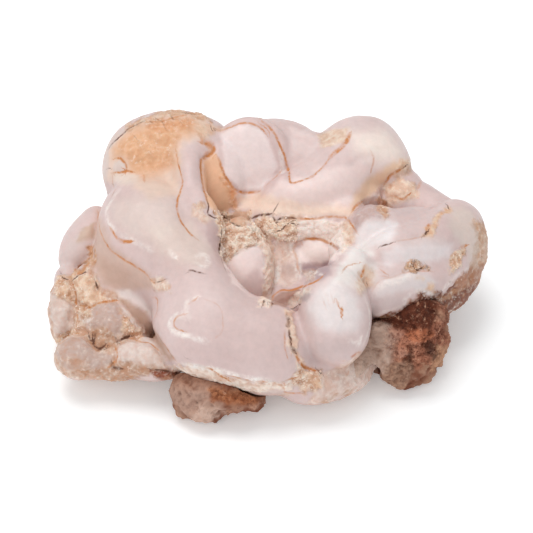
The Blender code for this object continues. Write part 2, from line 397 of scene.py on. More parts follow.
# Patches of the chalcedony, traced one by one, the lower ones first; outlines are in the
# picture's pixels
AREAS = [
    area("#CDB0A2", 0.9, [(56, 280), (72, 272), (92, 262), (100, 285), (118, 292), (140, 322), (162, 352),
        (168, 372), (110, 384), (58, 376), (50, 345), (48, 300)], crust=0.7, soft=3),
    # the dome and its iron stain
    area("#E9CDB8", 0.7, [(104, 152), (118, 134), (140, 122), (178, 112), (202, 116), (214, 130),
        (204, 140), (182, 142), (182, 172), (178, 196), (150, 200), (130, 184), (104, 180)], soft=6),
    area("#DFA67B", 0.85, [(112, 150), (122, 138), (137, 127), (160, 119), (178, 115), (196, 118),
        (198, 132), (182, 138), (176, 148), (174, 166), (160, 174), (146, 178), (134, 174), (128, 172),
        (127, 160), (120, 157), (113, 158)], crust=0.12, soft=8),
    area("#E0A87C", 0.3, [(118, 150), (130, 138), (160, 126), (180, 128), (174, 142), (170, 160),
        (150, 168), (134, 164)], crust=0.42, soft=6),
    area("#D68B58", 0.5, [(145, 124), (165, 118), (196, 119), (188, 128), (165, 131), (148, 130)],
        crust=0.5),
    area("#CFA88C", 0.8, [(122, 128), (140, 117), (160, 111), (180, 109), (200, 111), (212, 122),
        (200, 121), (184, 116), (166, 117), (146, 122), (128, 132)], crust=0.6, soft=1.5),
    area("#D9C6BF", 0.8, [(113, 162), (119, 159), (125, 162), (126, 169), (120, 171), (114, 172)], 0.4,
        soft=1),
    area("#D6C3BC", 0.7, [(103, 160), (104, 148), (112, 138), (122, 129), (128, 126), (126, 131),
        (114, 142), (110, 150), (108, 160), (104, 185)], soft=1.5),
    area("#E7D6CC", 0.6, [(113, 175), (126, 173), (138, 176), (134, 184), (116, 184)]),
    # the flank, faintly yellow where it thins
    area("#CBB2A9", 0.35, [(112, 195), (150, 190), (196, 214), (206, 262), (180, 276), (140, 252),
        (112, 225)], soft=12),
    area("#E6D6CC", 0.4, [(112, 205), (140, 198), (172, 200), (178, 225), (160, 240), (130, 236),
        (112, 222)], soft=8),
    area("#E8D6C8", 0.4, [(150, 228), (190, 222), (212, 246), (205, 268), (180, 262), (156, 250)],
        soft=7),
    area("#C9A58F", 0.6, [(97, 206), (104, 224), (112, 246), (130, 260), (150, 275), (152, 290),
        (118, 290), (100, 284), (92, 266), (94, 236)], soft=4),
    area("#BC9580", 0.35, [(96, 250), (110, 262), (132, 274), (128, 286), (104, 282), (94, 270)], soft=4),
    area("#E6D8D2", 0.7, [(116, 290), (130, 290), (146, 302), (154, 318), (146, 314), (132, 302),
        (118, 296)], 0.5),
    area("#B8937B", 0.75, [(119, 297), (132, 302), (146, 312), (154, 330), (166, 346), (176, 359),
        (170, 360), (158, 347), (146, 334), (136, 320), (124, 306)], -1.0),
    area("#E3D6D1", 0.75, [(117, 299), (124, 306), (136, 322), (146, 336), (160, 350), (168, 364),
        (160, 362), (148, 346), (138, 338), (130, 322), (121, 308)], 0.6),
    area("#CDB3AF", 0.55, [(210, 310), (240, 296), (278, 312), (280, 350), (250, 368), (214, 356)],
        soft=12),
    area("#E4CDBD", 0.7, [(152, 280), (160, 278), (168, 282), (168, 292), (160, 294), (154, 290)],
        crust=0.5, soft=1.5),
    # the inner fold and the rusty wedge
    area("#DAC1BD", 0.6, [(180, 150), (196, 146), (212, 152), (202, 162), (203, 190), (206, 200),
        (192, 200), (180, 196), (184, 180)]),
    area("#D9B9A2", 0.8, [(194, 202), (203, 200), (210, 208), (206, 211), (196, 209)], crust=0.6,
        soft=1.5),
    area("#E6CEC0", 0.8, [(192, 208), (204, 210), (214, 218), (221, 228), (219, 234), (206, 224),
        (193, 216)], crust=0.4),
    area("#CDB1AE", 0.8, [(206, 222), (214, 219), (220, 228), (223, 240), (222, 252), (220, 262),
        (212, 250), (206, 236)], soft=2),
    area("#EAB892", 0.9, [(203, 162), (208, 158), (214, 152), (218, 158), (223, 170), (228, 182),
        (236, 190), (237, 206), (224, 213), (212, 210), (208, 198), (205, 185)], soft=2),
    area("#DD9259", 0.55, [(219, 170), (224, 174), (230, 186), (238, 192), (240, 204), (233, 210),
        (229, 198), (223, 184)], crust=0.45, soft=2),
    area("#D4824B", 0.7, [(226, 181), (234, 186), (237, 194), (234, 202), (229, 194)], crust=0.3),
    area("#D4824B", 0.7, [(198, 132), (204, 140), (214, 144), (213, 152), (205, 160), (203, 156),
        (209, 149), (200, 142)], crust=0.3),
    area("#DDB597", 0.6, [(196, 122), (214, 126), (228, 128), (216, 134), (204, 142), (197, 134)],
        crust=0.3),
    # the lobes at the back
    area("#F0DEDB", 0.8, [(222, 132), (240, 124), (256, 126), (270, 140), (278, 165), (262, 190),
        (240, 190), (224, 172)]),
    area("#F3DDD8", 0.7, [(290, 128), (316, 136), (322, 170), (350, 165), (385, 150), (400, 165),
        (370, 190), (350, 205), (300, 208), (262, 200), (282, 178), (292, 184)], soft=4),
    area("#D6BEBA", 0.7, [(288, 132), (314, 138), (326, 164), (312, 177), (294, 178), (285, 152)],
        soft=4),
    area("#FBE0CB", 0.7, [(238, 196), (262, 194), (300, 204), (350, 206), (352, 216), (300, 217),
        (255, 212), (240, 208)], crust=0.09, soft=5),
    area("#E6CDB8", 0.8, [(318, 134), (330, 129), (348, 128), (347, 138), (336, 146), (322, 149)],
        crust=0.4),
    area("#F6E6DB", 0.8, [(352, 134), (385, 130), (402, 148), (404, 160), (380, 162), (356, 152)],
        soft=12),
    area("#EBC5A3", 0.8, [(350, 204), (368, 178), (392, 162), (408, 158), (410, 167), (393, 174),
        (385, 184), (370, 196), (358, 204), (350, 214)], soft=4),
    area("#D3B096", 0.5, [(400, 158), (410, 160), (414, 172), (400, 178), (392, 175)], crust=0.4),
    # the floor of the bowl
    area("#F3D2B6", 0.9, [(214, 212), (222, 212), (250, 212), (252, 222), (232, 230), (222, 236),
        (216, 222)], crust=0.9),
    area("#C99E84", 0.9, [(229, 217), (235, 211), (245, 212), (249, 219), (244, 226), (235, 225)], 0.4,
        0.2, soft=1),
    area("#FFEEDF", 0.95, [(222, 232), (232, 226), (250, 226), (258, 218), (275, 217), (300, 220),
        (300, 240), (262, 241), (252, 247), (235, 258), (226, 266), (220, 256)], crust=1.0, soft=2),
    area("#FDF1EC", 0.95, [(298, 219), (330, 219), (346, 222), (354, 234), (350, 247), (342, 252),
        (330, 243), (315, 239), (298, 240)], crust=0.45, soft=2),
    area("#F3DDCB", 0.7, [(344, 220), (352, 222), (356, 234), (350, 248), (343, 250), (342, 236)],
        crust=0.5),
    area("#F3D6BE", 0.6, [(262, 214), (296, 216), (292, 226), (280, 234), (270, 228)], crust=0.8),
    area("#F8E4E0", 0.9, [(226, 264), (240, 250), (262, 243), (265, 262), (263, 282), (262, 305),
        (250, 297), (232, 282)], soft=2),
    area("#C9A9A5", 0.6, [(240, 280), (256, 270), (264, 280), (262, 302), (256, 304), (246, 292)],
        soft=4),
    area("#FBE6D8", 0.9, [(262, 240), (272, 240), (279, 262), (277, 282), (268, 307), (257, 306),
        (263, 284), (265, 262)], 0.3, 0.5, soft=1.5),
    area("#E8D4CD", 0.8, [(274, 244), (294, 240), (297, 262), (300, 283), (284, 286), (276, 280)],
        crust=0.35, soft=2),
    area("#B6A0A1", 0.35, [(280, 266), (294, 262), (297, 276), (286, 280)], crust=0.2, soft=3),
    area("#F8E7E2", 0.9, [(297, 248), (304, 241), (320, 240), (333, 247), (340, 253), (332, 266),
        (316, 262), (300, 262)], soft=2),
    # painted shade under the right bulb in the bowl
    area("#A98F93", 0.8, [(300, 264), (318, 264), (334, 262), (330, 272), (322, 280), (310, 281),
        (301, 274)], soft=3),
    area("#DCCBC6", 0.6, [(302, 270), (310, 268), (320, 272), (314, 280), (303, 278)], crust=0.6,
        soft=1.5),
    area("#B0887A", 0.95, [(271, 304), (275, 296), (284, 291), (300, 288), (300, 296), (292, 304),
        (284, 308)], soft=1),
    area("#E3D5CC", 0.9, [(288, 303), (295, 293), (306, 288), (315, 286), (308, 296), (300, 304),
        (291, 309)], crust=0.5, soft=1.5),
    area("#9F8C8A", 0.7, [(300, 298), (308, 291), (313, 294), (304, 304)], soft=1.5),
    # the grey lump and the stones beside it
    area("#B79FA0", 0.8, [(351, 220), (356, 206), (366, 198), (380, 188), (386, 186), (384, 200),
        (382, 216), (368, 220), (360, 228), (354, 234)], crust=0.3, soft=2),
    area("#C58E68", 0.7, [(378, 198), (388, 194), (389, 218), (382, 220), (379, 208)], crust=0.7,
        soft=1.5),
    area("#EED3C0", 0.9, [(386, 183), (400, 179), (414, 184), (418, 196), (405, 200), (394, 206),
        (388, 212), (384, 204), (386, 192)], 0.3, 0.5, soft=1.5),
    area("#CFB8B5", 0.7, [(392, 204), (402, 200), (412, 197), (418, 205), (412, 214), (398, 218),
        (389, 214)], 0.3),
    area("#D9C0BC", 0.7, [(420, 190), (430, 192), (449, 201), (446, 208), (436, 218), (430, 228),
        (424, 236), (400, 238), (398, 222), (412, 212)], soft=3),
    area("#E2BC9E", 0.9, [(424, 238), (427, 227), (433, 216), (441, 210), (448, 206), (450, 210),
        (441, 218), (437, 228), (430, 238)], -0.4, 0.5, soft=1.5),
    # the fingers on the right
    area("#EFE6E5", 0.85, [(356, 232), (366, 221), (385, 220), (398, 224), (396, 236), (384, 244),
        (362, 250), (352, 252)], soft=5),
    area("#E8DCDB", 0.8, [(382, 252), (400, 243), (430, 240), (452, 244), (450, 256), (430, 262),
        (402, 262), (384, 268)], soft=5),
    area("#DFD3D1", 0.8, [(370, 292), (380, 280), (404, 274), (430, 274), (440, 284), (428, 290),
        (400, 290), (376, 300)], soft=4),
    # painted shade in the groove above the lower finger
    area("#D9C3BF", 0.7, [(364, 264), (384, 267), (404, 272), (402, 277), (382, 282), (368, 288)],
        soft=4),
    # painted shade in the groove between the upper and the middle finger
    area("#DAC5C1", 0.6, [(394, 240), (424, 236), (448, 238), (440, 244), (400, 247)], soft=3),
    area("#D8C7BC", 0.7, [(452, 206), (470, 210), (483, 226), (484, 250), (470, 262), (460, 244),
        (448, 226)], soft=5),
    area("#BCA392", 0.7, [(474, 222), (484, 236), (484, 262), (476, 278), (466, 276), (474, 258),
        (476, 240)], crust=0.4, soft=3),
    area("#C9A48C", 0.7, [(476, 216), (488, 232), (489, 262), (482, 274), (479, 262), (481, 244),
        (477, 230)], crust=0.6, soft=1.5),
    area("#C79E7E", 0.9, [(403, 271), (407, 265), (413, 260), (422, 262), (430, 266), (432, 271),
        (420, 270)], -0.8, 0.9, soft=1),
    area("#E6C7AE", 0.9, [(450, 273), (451, 260), (458, 251), (466, 247), (464, 256), (461, 267),
        (455, 275)], -0.3, 0.8, soft=1.5),
    area("#E3B78D", 0.7, [(427, 290), (430, 285), (437, 286), (435, 292)], crust=0.3),
    area("#E6C5A3", 0.6, [(417, 279), (421, 275), (427, 277), (424, 281)], crust=0.3),
    area("#D0BCB9", 0.7, [(369, 302), (384, 296), (402, 294), (400, 304), (384, 312), (370, 316)],
        soft=4),
    # the rock that the broken lip overhangs
    area("#8C5844", 0.95, [(376, 321), (380, 316), (394, 311), (404, 307), (406, 300), (420, 292),
        (434, 297), (442, 292), (452, 283), (467, 271), (482, 272), (486, 290), (462, 312), (440, 325),
        (400, 335), (376, 335)], 0.2, 0.7, soft=1),
    # the darkest patch, right under the lip: the rock's red-brown with painted shade from the overhang
    area("#7A4028", 0.9, [(378, 321), (394, 313), (406, 302), (420, 293), (434, 298), (440, 318),
        (420, 334), (380, 334)], 0, 0.7, soft=2),
    area("#96604E", 0.9, [(452, 283), (467, 271), (484, 264), (484, 280), (470, 288), (458, 292)], 0.3,
        0.5, soft=2),
    # the neck and the white ball
    area("#F0E8E4", 0.8, [(350, 246), (366, 242), (374, 254), (358, 266), (346, 280), (330, 286),
        (338, 266)], soft=5),
    area("#E8DDDB", 0.9, [(316, 290), (330, 280), (346, 282), (358, 296), (362, 316), (356, 330),
        (338, 334), (318, 328), (308, 310)], soft=8),
    area("#ECE2DD", 0.8, [(334, 282), (344, 262), (362, 258), (378, 262), (376, 280), (362, 292),
        (346, 284)], soft=4),
    area("#D2B197", 0.6, [(357, 290), (360, 272), (366, 266), (374, 272), (372, 286), (362, 294)],
        crust=0.4, soft=3),
    area("#CDB8B5", 0.6, [(302, 346), (330, 340), (352, 342), (360, 352), (340, 360), (312, 366),
        (302, 358)], soft=4),
    area("#B8693C", 0.8, [(351, 354), (360, 350), (362, 357), (354, 361)], soft=1),
    area("#EFD3BC", 0.6, [(286, 312), (292, 312), (294, 336), (298, 352), (306, 364), (296, 362),
        (288, 344)], crust=0.5, soft=2),
    # the broken white edge in front
    area("#F1E2D8", 0.85, [(168, 364), (190, 364), (212, 369), (232, 376), (252, 381), (272, 382),
        (296, 379), (300, 388), (280, 396), (246, 394), (222, 388), (196, 376), (170, 370)], 0.3, 0.65,
        soft=2),
    area("#EFD6C4", 0.9, [(294, 372), (304, 366), (318, 369), (326, 378), (322, 390), (304, 394),
        (292, 386)], 0.8, 1.0, soft=2),
    area("#D08A58", 0.6, [(303, 371), (310, 368), (318, 370), (314, 373)], crust=0.3, soft=1),
    area("#D9A57C", 0.6, [(312, 380), (320, 379), (321, 387), (314, 388)], crust=0.3, soft=1.5),
    area("#D6C0B9", 0.85, [(322, 376), (344, 362), (362, 352), (374, 330), (386, 334), (390, 368),
        (376, 384), (345, 396), (328, 404), (306, 405), (310, 394), (324, 388)], 0.3, 0.45, soft=2),
    area("#A57F6B", 0.6, [(322, 402), (336, 394), (350, 390), (344, 396), (326, 404)], crust=0.6, soft=2),
    area("#C2A29B", 0.6, [(262, 392), (276, 388), (286, 394), (276, 398), (260, 398)], soft=2),
    # the broken left end
    area("#D6C1BC", 0.8, [(66, 246), (80, 228), (96, 222), (94, 244), (91, 256), (84, 266), (74, 274),
        (62, 274), (57, 258)], 0.5, soft=2),
    area("#C8A991", 0.7, [(75, 242), (80, 230), (96, 222), (94, 238), (84, 241)], 0.3, soft=1.5),
    area("#C58A5C", 0.85, [(91, 248), (95, 252), (95, 262), (86, 272), (76, 276), (71, 279), (74, 271),
        (84, 264), (89, 258)], -0.6, 0.7, soft=1.5),
    area("#EBCBB2", 0.9, [(57, 281), (63, 277), (70, 280), (74, 290), (76, 306), (66, 302), (58, 298)],
        0.8, 0.9, soft=1.5),
    area("#D8C6C0", 0.85, [(50, 292), (57, 298), (66, 303), (74, 306), (75, 328), (64, 334), (57, 334),
        (51, 318)], 0.8, 0.3, soft=1.5),
    area("#E7CBB4", 0.9, [(73, 281), (82, 276), (91, 277), (96, 286), (106, 295), (112, 300), (100, 303),
        (88, 307), (79, 303), (75, 292)], 1.0, 0.7, soft=1.5),
    area("#F0DFD2", 0.9, [(74, 304), (79, 304), (80, 328), (75, 330)], 0.3, 1.0, soft=1),
    area("#E2C3A8", 0.9, [(57, 339), (66, 333), (76, 329), (79, 334), (66, 337), (59, 343)], 0.3, 0.8,
        soft=1),
    area("#E0C2AC", 0.85, [(80, 304), (88, 307), (90, 318), (84, 322), (79, 318)], 0.5, 1.0, soft=1.5),
    area("#BCA6A2", 0.85, [(88, 308), (100, 303), (112, 300), (120, 304), (124, 320), (122, 334),
        (112, 336), (100, 328), (84, 328), (84, 322), (91, 318)], 0.7, 0.3, soft=2),
    area("#E7C5AB", 0.9, [(123, 317), (130, 318), (135, 327), (143, 336), (142, 341), (128, 338),
        (124, 330)], 0.4, 0.8, soft=1.5),
    area("#A67C67", 0.9, [(88, 332), (98, 328), (112, 333), (116, 341), (112, 352), (98, 350), (90, 344)],
        -0.5, 0.72, soft=2),
    area("#B9A29C", 0.85, [(58, 344), (68, 337), (84, 337), (90, 346), (96, 352), (112, 354), (112, 360),
        (98, 370), (80, 371), (68, 369), (60, 360), (55, 352)], 1.0, 0.35, soft=2),
    area("#B98A70", 0.5, [(64, 360), (74, 356), (90, 362), (92, 371), (76, 371)], crust=0.5, soft=3),
    area("#DCCDC8", 0.85, [(117, 346), (130, 340), (146, 341), (156, 349), (163, 360), (162, 367),
        (146, 366), (130, 364), (116, 358)], 1.0, 0.35, soft=2),
    area("#A87C68", 0.8, [(62, 369), (100, 371), (115, 360), (135, 366), (165, 368), (176, 372),
        (150, 376), (130, 382), (108, 382), (88, 374)], 0.2, 0.7, soft=2),
    area("#8E3F1C", 0.9, [(148, 371), (160, 369), (178, 373), (178, 377), (160, 378), (149, 376)], -0.5,
        0.7, soft=1),
]

# Hairlines, cracks and pale rims, by their pixels in the picture; a few pale lines are painted highlights,
# and a few weak reddish lines are painted shade in grooves
LINES = [
    # the dome
    line("crack", [(109, 147), (113, 142), (120, 136), (127, 129)], 0.6, 1.0, -0.6, 0.6),
    line("crack", [(127, 129), (135, 125), (143, 121)], 0.5, 0.8, -0.4, 0.5),
    line("rust_and_groove_shade", [(143, 122), (160, 121), (175, 117), (192, 113)], 0.5, 0.6, -0.3),
    line("crack", [(162, 121), (164, 125)], 0.5, 0.7, -0.3),
    line("crack", [(172, 117), (174, 119)], 0.5, 0.7, -0.3),
    line("crack", [(189, 113), (192, 114)], 0.7, 1.0, -0.4),
    line("crack", [(210, 124), (212, 129)], 0.4, 0.7, -0.3),
    line("rust_and_groove_shade", [(113, 173), (120, 172), (126, 171), (132, 172)], 0.35, 0.9, -0.4),
    line("rust_and_groove_shade", [(115, 159), (119, 158), (124, 162), (126, 168), (124, 172)], 0.4, 1.0, -0.5),
    line("crack", [(107, 169), (110, 169)], 0.4, 0.7, -0.3),
    line("rust_and_groove_shade", [(112, 176), (113, 185), (115, 190), (112, 196)], 0.25, 0.5, -0.1),
    line("crack", [(113, 184), (114, 185)], 0.35, 0.6),
    line("crack", [(112, 196), (114, 193)], 0.3, 0.6),
    line("rust_and_groove_shade", [(143, 175), (144, 181)], 0.4, 0.6),
    line("crack", [(150, 121), (152, 122)], 0.4, 0.6, -0.2),
    line("crack", [(156, 118), (158, 119)], 0.4, 0.6, -0.2),
    line("crack", [(165, 127), (166, 129)], 0.35, 0.5, -0.2),
    line("crack", [(180, 121), (182, 123)], 0.35, 0.5, -0.2),
    line("crack", [(183, 112), (186, 113)], 0.4, 0.7, -0.3),
    line("crack", [(135, 137), (136, 138)], 0.35, 0.5),
    line("crack", [(214, 128), (216, 129)], 0.4, 0.7, -0.3),
    # the flank
    line("pale", [(120, 190), (111, 202), (107, 212), (109, 224), (116, 233)], 0.6, 0.45, 0.25, 0.9),
    line("rust_and_groove_shade", [(110, 229), (116, 237), (121, 241), (130, 241)], 0.5, 0.8, -0.3),
    line("pale", [(116, 233), (128, 238), (140, 244), (152, 250)], 0.6, 0.22, 0.1, 0.9),
    line("rust_and_groove_shade", [(98, 212), (99, 226), (103, 238), (109, 249)], 0.4, 0.7, -0.3),
    line("rust_and_groove_shade", [(109, 249), (122, 259), (135, 267), (146, 275), (153, 283)], 0.4, 0.6, -0.3),
    line("crack", [(154, 283), (160, 281), (165, 279)], 0.3, 0.5, -0.4),
    line("rust_and_groove_shade", [(153, 297), (157, 300), (157, 310), (155, 316)], 0.3, 0.7, -0.3),
    line("rust_and_groove_shade", [(154, 330), (162, 342), (169, 353), (174, 359)], 0.4, 0.8, -0.6),
    line("crack", [(166, 349), (171, 356)], 0.2, 0.5, -0.2),
    line("crack", [(189, 272), (192, 270), (198, 272), (202, 273)], 0.5, 0.9, -0.5, 0.5),
    line("pale", [(170, 252), (175, 257)], 0.5, 0.5, 0.1),
    # the inner fold
    line("rust_and_groove_shade", [(176, 151), (177, 160), (180, 172), (182, 184), (178, 196), (177, 208), (181, 220),
        (188, 231), (197, 239)], 0.35, 0.8, -0.35),
    line("rust_and_groove_shade", [(201, 142), (208, 144), (214, 146), (213, 151), (207, 157), (202, 161), (202, 174),
        (204, 188), (208, 199)], 0.6, 1.0, -0.7, 0.6),
    line("crack", [(208, 198), (210, 206), (209, 214), (216, 218)], 0.4, 0.9, -0.6, 0.6),
    line("crack", [(222, 228), (222, 240), (220, 252)], 0.6, 0.8, -0.6, 0.6),
    line("crack", [(221, 257), (223, 263), (226, 270)], 0.4, 0.6, -0.3),
    line("rust_and_groove_shade", [(218, 158), (222, 168), (228, 181), (235, 190), (247, 193), (258, 192)], 0.45, 0.9,
        -0.5),
    # the round face and the lobes at the back
    line("rust_and_groove_shade", [(222, 130), (232, 126), (241, 123), (252, 123), (260, 127), (266, 134)], 0.4, 0.8,
        -0.4),
    line("rust_and_groove_shade", [(262, 121), (271, 129), (279, 142), (285, 155), (288, 168), (291, 182), (300, 181),
        (312, 176), (322, 168), (329, 158)], 0.4, 0.9, -0.5),
    line("pale", [(280, 148), (283, 160), (283, 172)], 0.6, 0.4, 0.1),
    line("rust_and_groove_shade", [(329, 158), (333, 154), (339, 150), (346, 142), (350, 134)], 0.8, 0.8, -0.4),
    line("rust_and_groove_shade", [(264, 187), (272, 180), (280, 172)], 0.3, 0.4),
    line("rust_and_groove_shade", [(372, 153), (374, 160), (371, 170)], 0.4, 0.4, -0.1),
    line("rust_and_groove_shade", [(385, 184), (389, 178), (393, 174), (400, 170)], 0.5, 1.0, -0.6),
    line("crack", [(404, 167), (407, 165)], 0.4, 1.0, -0.4),
    line("rust_and_groove_shade", [(351, 212), (355, 206), (362, 202)], 0.5, 0.7, -0.3),
    # the rim of the crystal crust
    line("crack", [(222, 216), (232, 222), (240, 226)], 0.5, 0.7, -0.6),
    line("crack", [(250, 219), (258, 215), (265, 214), (271, 213)], 0.6, 1.0, -0.6, 0.7),
    line("crack", [(271, 214), (274, 219), (276, 222)], 0.5, 0.9, -0.6),
    line("crack", [(271, 213), (274, 209), (277, 205)], 0.3, 0.7, -0.3),
    line("crack", [(276, 219), (283, 217), (293, 218)], 0.6, 0.9, -0.6, 0.7),
    line("crack", [(275, 232), (281, 230), (286, 226), (290, 223), (296, 224)], 0.4, 0.9, -0.6),
    line("rust_and_groove_shade", [(293, 218), (310, 219), (330, 217), (346, 218), (352, 226), (356, 232)], 0.4, 0.7,
        -0.4),
    line("rust_and_groove_shade", [(298, 241), (305, 239), (318, 239), (328, 242), (338, 250)], 0.5, 0.8, -0.4),
    line("rust_and_groove_shade", [(299, 242), (294, 248), (297, 258), (299, 270)], 0.5, 0.5, -0.3),
    line("pale", [(292, 243), (294, 252), (298, 262), (299, 276)], 0.7, 0.8, 0.3),
    line("pale", [(279, 262), (278, 274), (270, 292), (267, 304)], 0.6, 0.7, 0.1),
    line("pale", [(303, 276), (312, 272), (320, 274)], 0.4, 0.5, 0.1),
    line("rust_and_groove_shade", [(271, 304), (274, 295), (282, 290), (292, 289), (302, 286), (314, 282), (322, 276)],
        0.4, 1.0, -0.4),
    line("crack", [(262, 305), (264, 301)], 0.6, 0.9, -0.5),
    line("crack", [(271, 306), (272, 302)], 0.4, 0.9, -0.4),
    line("crack", [(288, 309), (294, 308), (300, 304)], 0.3, 0.8, -0.4),
    # between the front swelling and the white ball
    line("crack", [(288, 316), (289, 321), (288, 326)], 1.0, 1.0, -0.8, 0.5),
    line("crack", [(289, 328), (290, 336), (291, 342)], 0.6, 0.8, -0.6, 0.5),
    line("crack", [(292, 347), (295, 352)], 1.0, 1.0, -0.7, 0.5),
    line("rust_and_groove_shade", [(295, 353), (299, 360), (306, 367), (314, 370)], 0.5, 0.9, -0.6),
    line("crack", [(317, 369), (321, 373)], 0.4, 0.7, -0.4),
    line("rust_and_groove_shade", [(285, 332), (285, 345), (287, 356)], 0.3, 0.5, -0.2),
    line("rust_and_groove_shade", [(341, 307), (342, 315)], 0.5, 0.9),
    line("rust_and_groove_shade", [(337, 302), (338, 305)], 0.4, 0.5),
    line("rust_and_groove_shade", [(323, 299), (325, 306)], 0.3, 0.15),
    line("rust_and_groove_shade", [(331, 295), (333, 302)], 0.3, 0.15),
    line("rust_and_groove_shade", [(364, 267), (362, 275)], 0.5, 0.9, -0.2),
    line("rust_and_groove_shade", [(342, 272), (348, 265), (358, 263)], 0.3, 0.5, -0.2),
    line("crack", [(368, 287), (367, 284)], 0.3, 0.6),
    # a painted highlight along the crest of the bump low on the white ball, drawn as a pale line
    line("pale", [(350, 340), (358, 344), (361, 338)], 0.5, 0.5, 0.2),
    line("pale", [(364, 296), (369, 312), (369, 328), (363, 344)], 0.5, 0.4, 0.15),
    # the fingers
    line("crack", [(380, 247), (385, 244), (392, 242)], 0.4, 0.9, -0.6),
    # weak rusty colour along the groove between the upper and the middle finger, as painted shade in the
    # groove
    line("rust_and_groove_shade", [(392, 242), (400, 240), (412, 238), (424, 236)], 0.3, 0.3, -0.7, 1.0),
    line("crack", [(424, 236), (427, 232)], 0.6, 1.0, -0.7, 0.5),
    line("rust_and_groove_shade", [(427, 228), (429, 225)], 0.6, 0.9, -0.3),
    line("crack", [(447, 204), (448, 207)], 0.4, 0.9, -0.3),
    line("crack", [(415, 262), (414, 266), (418, 269), (422, 268)], 0.4, 0.9, -0.5),
    line("crack", [(426, 264), (428, 267)], 0.4, 0.6, -0.3),
    line("rust_and_groove_shade", [(404, 272), (412, 271), (422, 270), (431, 271)], 0.3, 0.5, -0.6, 0.8),
    # weak rusty colour along the groove above the lower finger, as painted shade in the groove
    line("rust_and_groove_shade", [(372, 290), (380, 280), (392, 277), (404, 272)], 0.3, 0.2, -0.7, 1.0),
    line("rust_and_groove_shade", [(462, 247), (466, 246)], 0.5, 1.0, -0.3),
    line("rust_and_groove_shade", [(381, 270), (385, 273)], 0.3, 0.6),
    line("rust_and_groove_shade", [(418, 188), (421, 182)], 0.5, 0.6, -0.2),
    line("rust_and_groove_shade", [(394, 196), (402, 199), (408, 195)], 0.4, 0.8, -0.3),
    line("pale", [(372, 317), (384, 312), (396, 308), (404, 304), (405, 298), (419, 290), (434, 295),
        (443, 289), (452, 280), (467, 269)], 0.4, 0.4, 0.1),
    line("pale", [(374, 292), (384, 283), (398, 280), (414, 274)], 0.8, 0.4, 0.4, 1.0),
    # the ringed eyes of the front swelling
    # these pale rings are partly the stone's own white and partly a painted highlight
    line("pale", [(189, 318), (186, 310), (188, 302), (197, 298)], 0.5, 0.4, 0.1),
    line("pale", [(188, 318), (178, 316), (171, 322), (172, 330), (180, 334), (192, 337), (206, 341)],
        0.6, 0.6, 0.2),
    line("rust_and_groove_shade", [(184, 315), (176, 318), (174, 324), (176, 329), (183, 331)], 0.35, 0.7, -0.25),
    line("rust_and_groove_shade", [(190, 303), (195, 300)], 0.4, 0.5),
    line("rust_and_groove_shade", [(205, 300), (216, 304), (222, 312), (222, 330), (216, 337)], 0.25, 0.25, -0.15),
    line("pale", [(196, 263), (203, 267), (208, 260), (204, 254), (197, 256)], 0.6, 0.4, 0.15),
    line("crack", [(187, 358), (189, 359)], 0.4, 0.4),
    # the layered edge in front
    line("rust_and_groove_shade", [(208, 368), (214, 371), (220, 376), (228, 380)], 0.4, 0.8, -0.4),
    line("rust_and_groove_shade", [(229, 375), (238, 377), (248, 380)], 0.4, 0.6, -0.3),
    line("pale", [(184, 364), (204, 368), (226, 372), (250, 378), (270, 380)], 0.7, 0.7, 0.4, 0.6),
    line("rust_and_groove_shade", [(260, 381), (263, 381)], 0.6, 0.8, -0.2),
    line("rust_and_groove_shade", [(276, 383), (282, 386), (286, 393), (300, 393)], 0.4, 0.8, -0.4),
    line("rust_and_groove_shade", [(286, 380), (300, 377)], 0.3, 0.7, -0.3),
    # the broken left end
    line("rust_and_groove_shade", [(92, 248), (91, 256), (84, 268), (79, 272)], 0.7, 0.7, -0.9, 0.6),
    line("crack", [(72, 280), (75, 277), (80, 273), (84, 272)], 0.6, 1.0, -0.9, 0.5),
    line("crack", [(60, 272), (62, 276), (66, 278)], 0.5, 0.8, -0.7, 0.6),
    line("rust_and_groove_shade", [(71, 281), (74, 292), (76, 304)], 0.4, 0.7, -0.9, 0.6),
    line("rust_and_groove_shade", [(75, 312), (78, 318), (76, 326)], 0.3, 0.7, -0.6, 0.5),
    line("rust_and_groove_shade", [(60, 341), (68, 335), (78, 332)], 0.3, 0.7, -0.9, 0.7),
    line("crack", [(95, 281), (97, 288)], 0.4, 0.8, -0.5, 0.5),
    line("rust_and_groove_shade", [(82, 306), (90, 307), (98, 303), (105, 301), (116, 299)], 0.4, 0.8, -0.6, 0.6),
    line("pale", [(80, 318), (86, 322), (91, 320)], 0.4, 0.4, 0.3),
    line("crack", [(88, 333), (90, 339)], 0.4, 0.7, -0.5),
    line("crack", [(95, 333), (93, 343), (99, 348), (104, 345)], 0.5, 0.9, -0.9, 0.6),
    line("crack", [(116, 339), (117, 342)], 0.6, 1.0, -0.8, 0.5),
    line("crack", [(119, 341), (124, 338), (130, 336)], 0.6, 1.0, -0.8, 0.5),
    line("rust_and_groove_shade", [(130, 337), (140, 341), (150, 343), (160, 352)], 0.3, 0.7, -0.5, 0.6),
    line("crack", [(102, 350), (106, 348)], 0.4, 0.7, -0.4),
    line("rust_and_groove_shade", [(114, 344), (117, 356), (112, 364), (106, 370)], 0.4, 0.8, -0.7, 0.7),
    line("crack", [(112, 364), (113, 368), (120, 369)], 0.9, 1.0, -1.0, 0.7),
    line("crack", [(150, 370), (162, 371), (174, 374)], 0.6, 0.8, -0.6, 0.6),
]

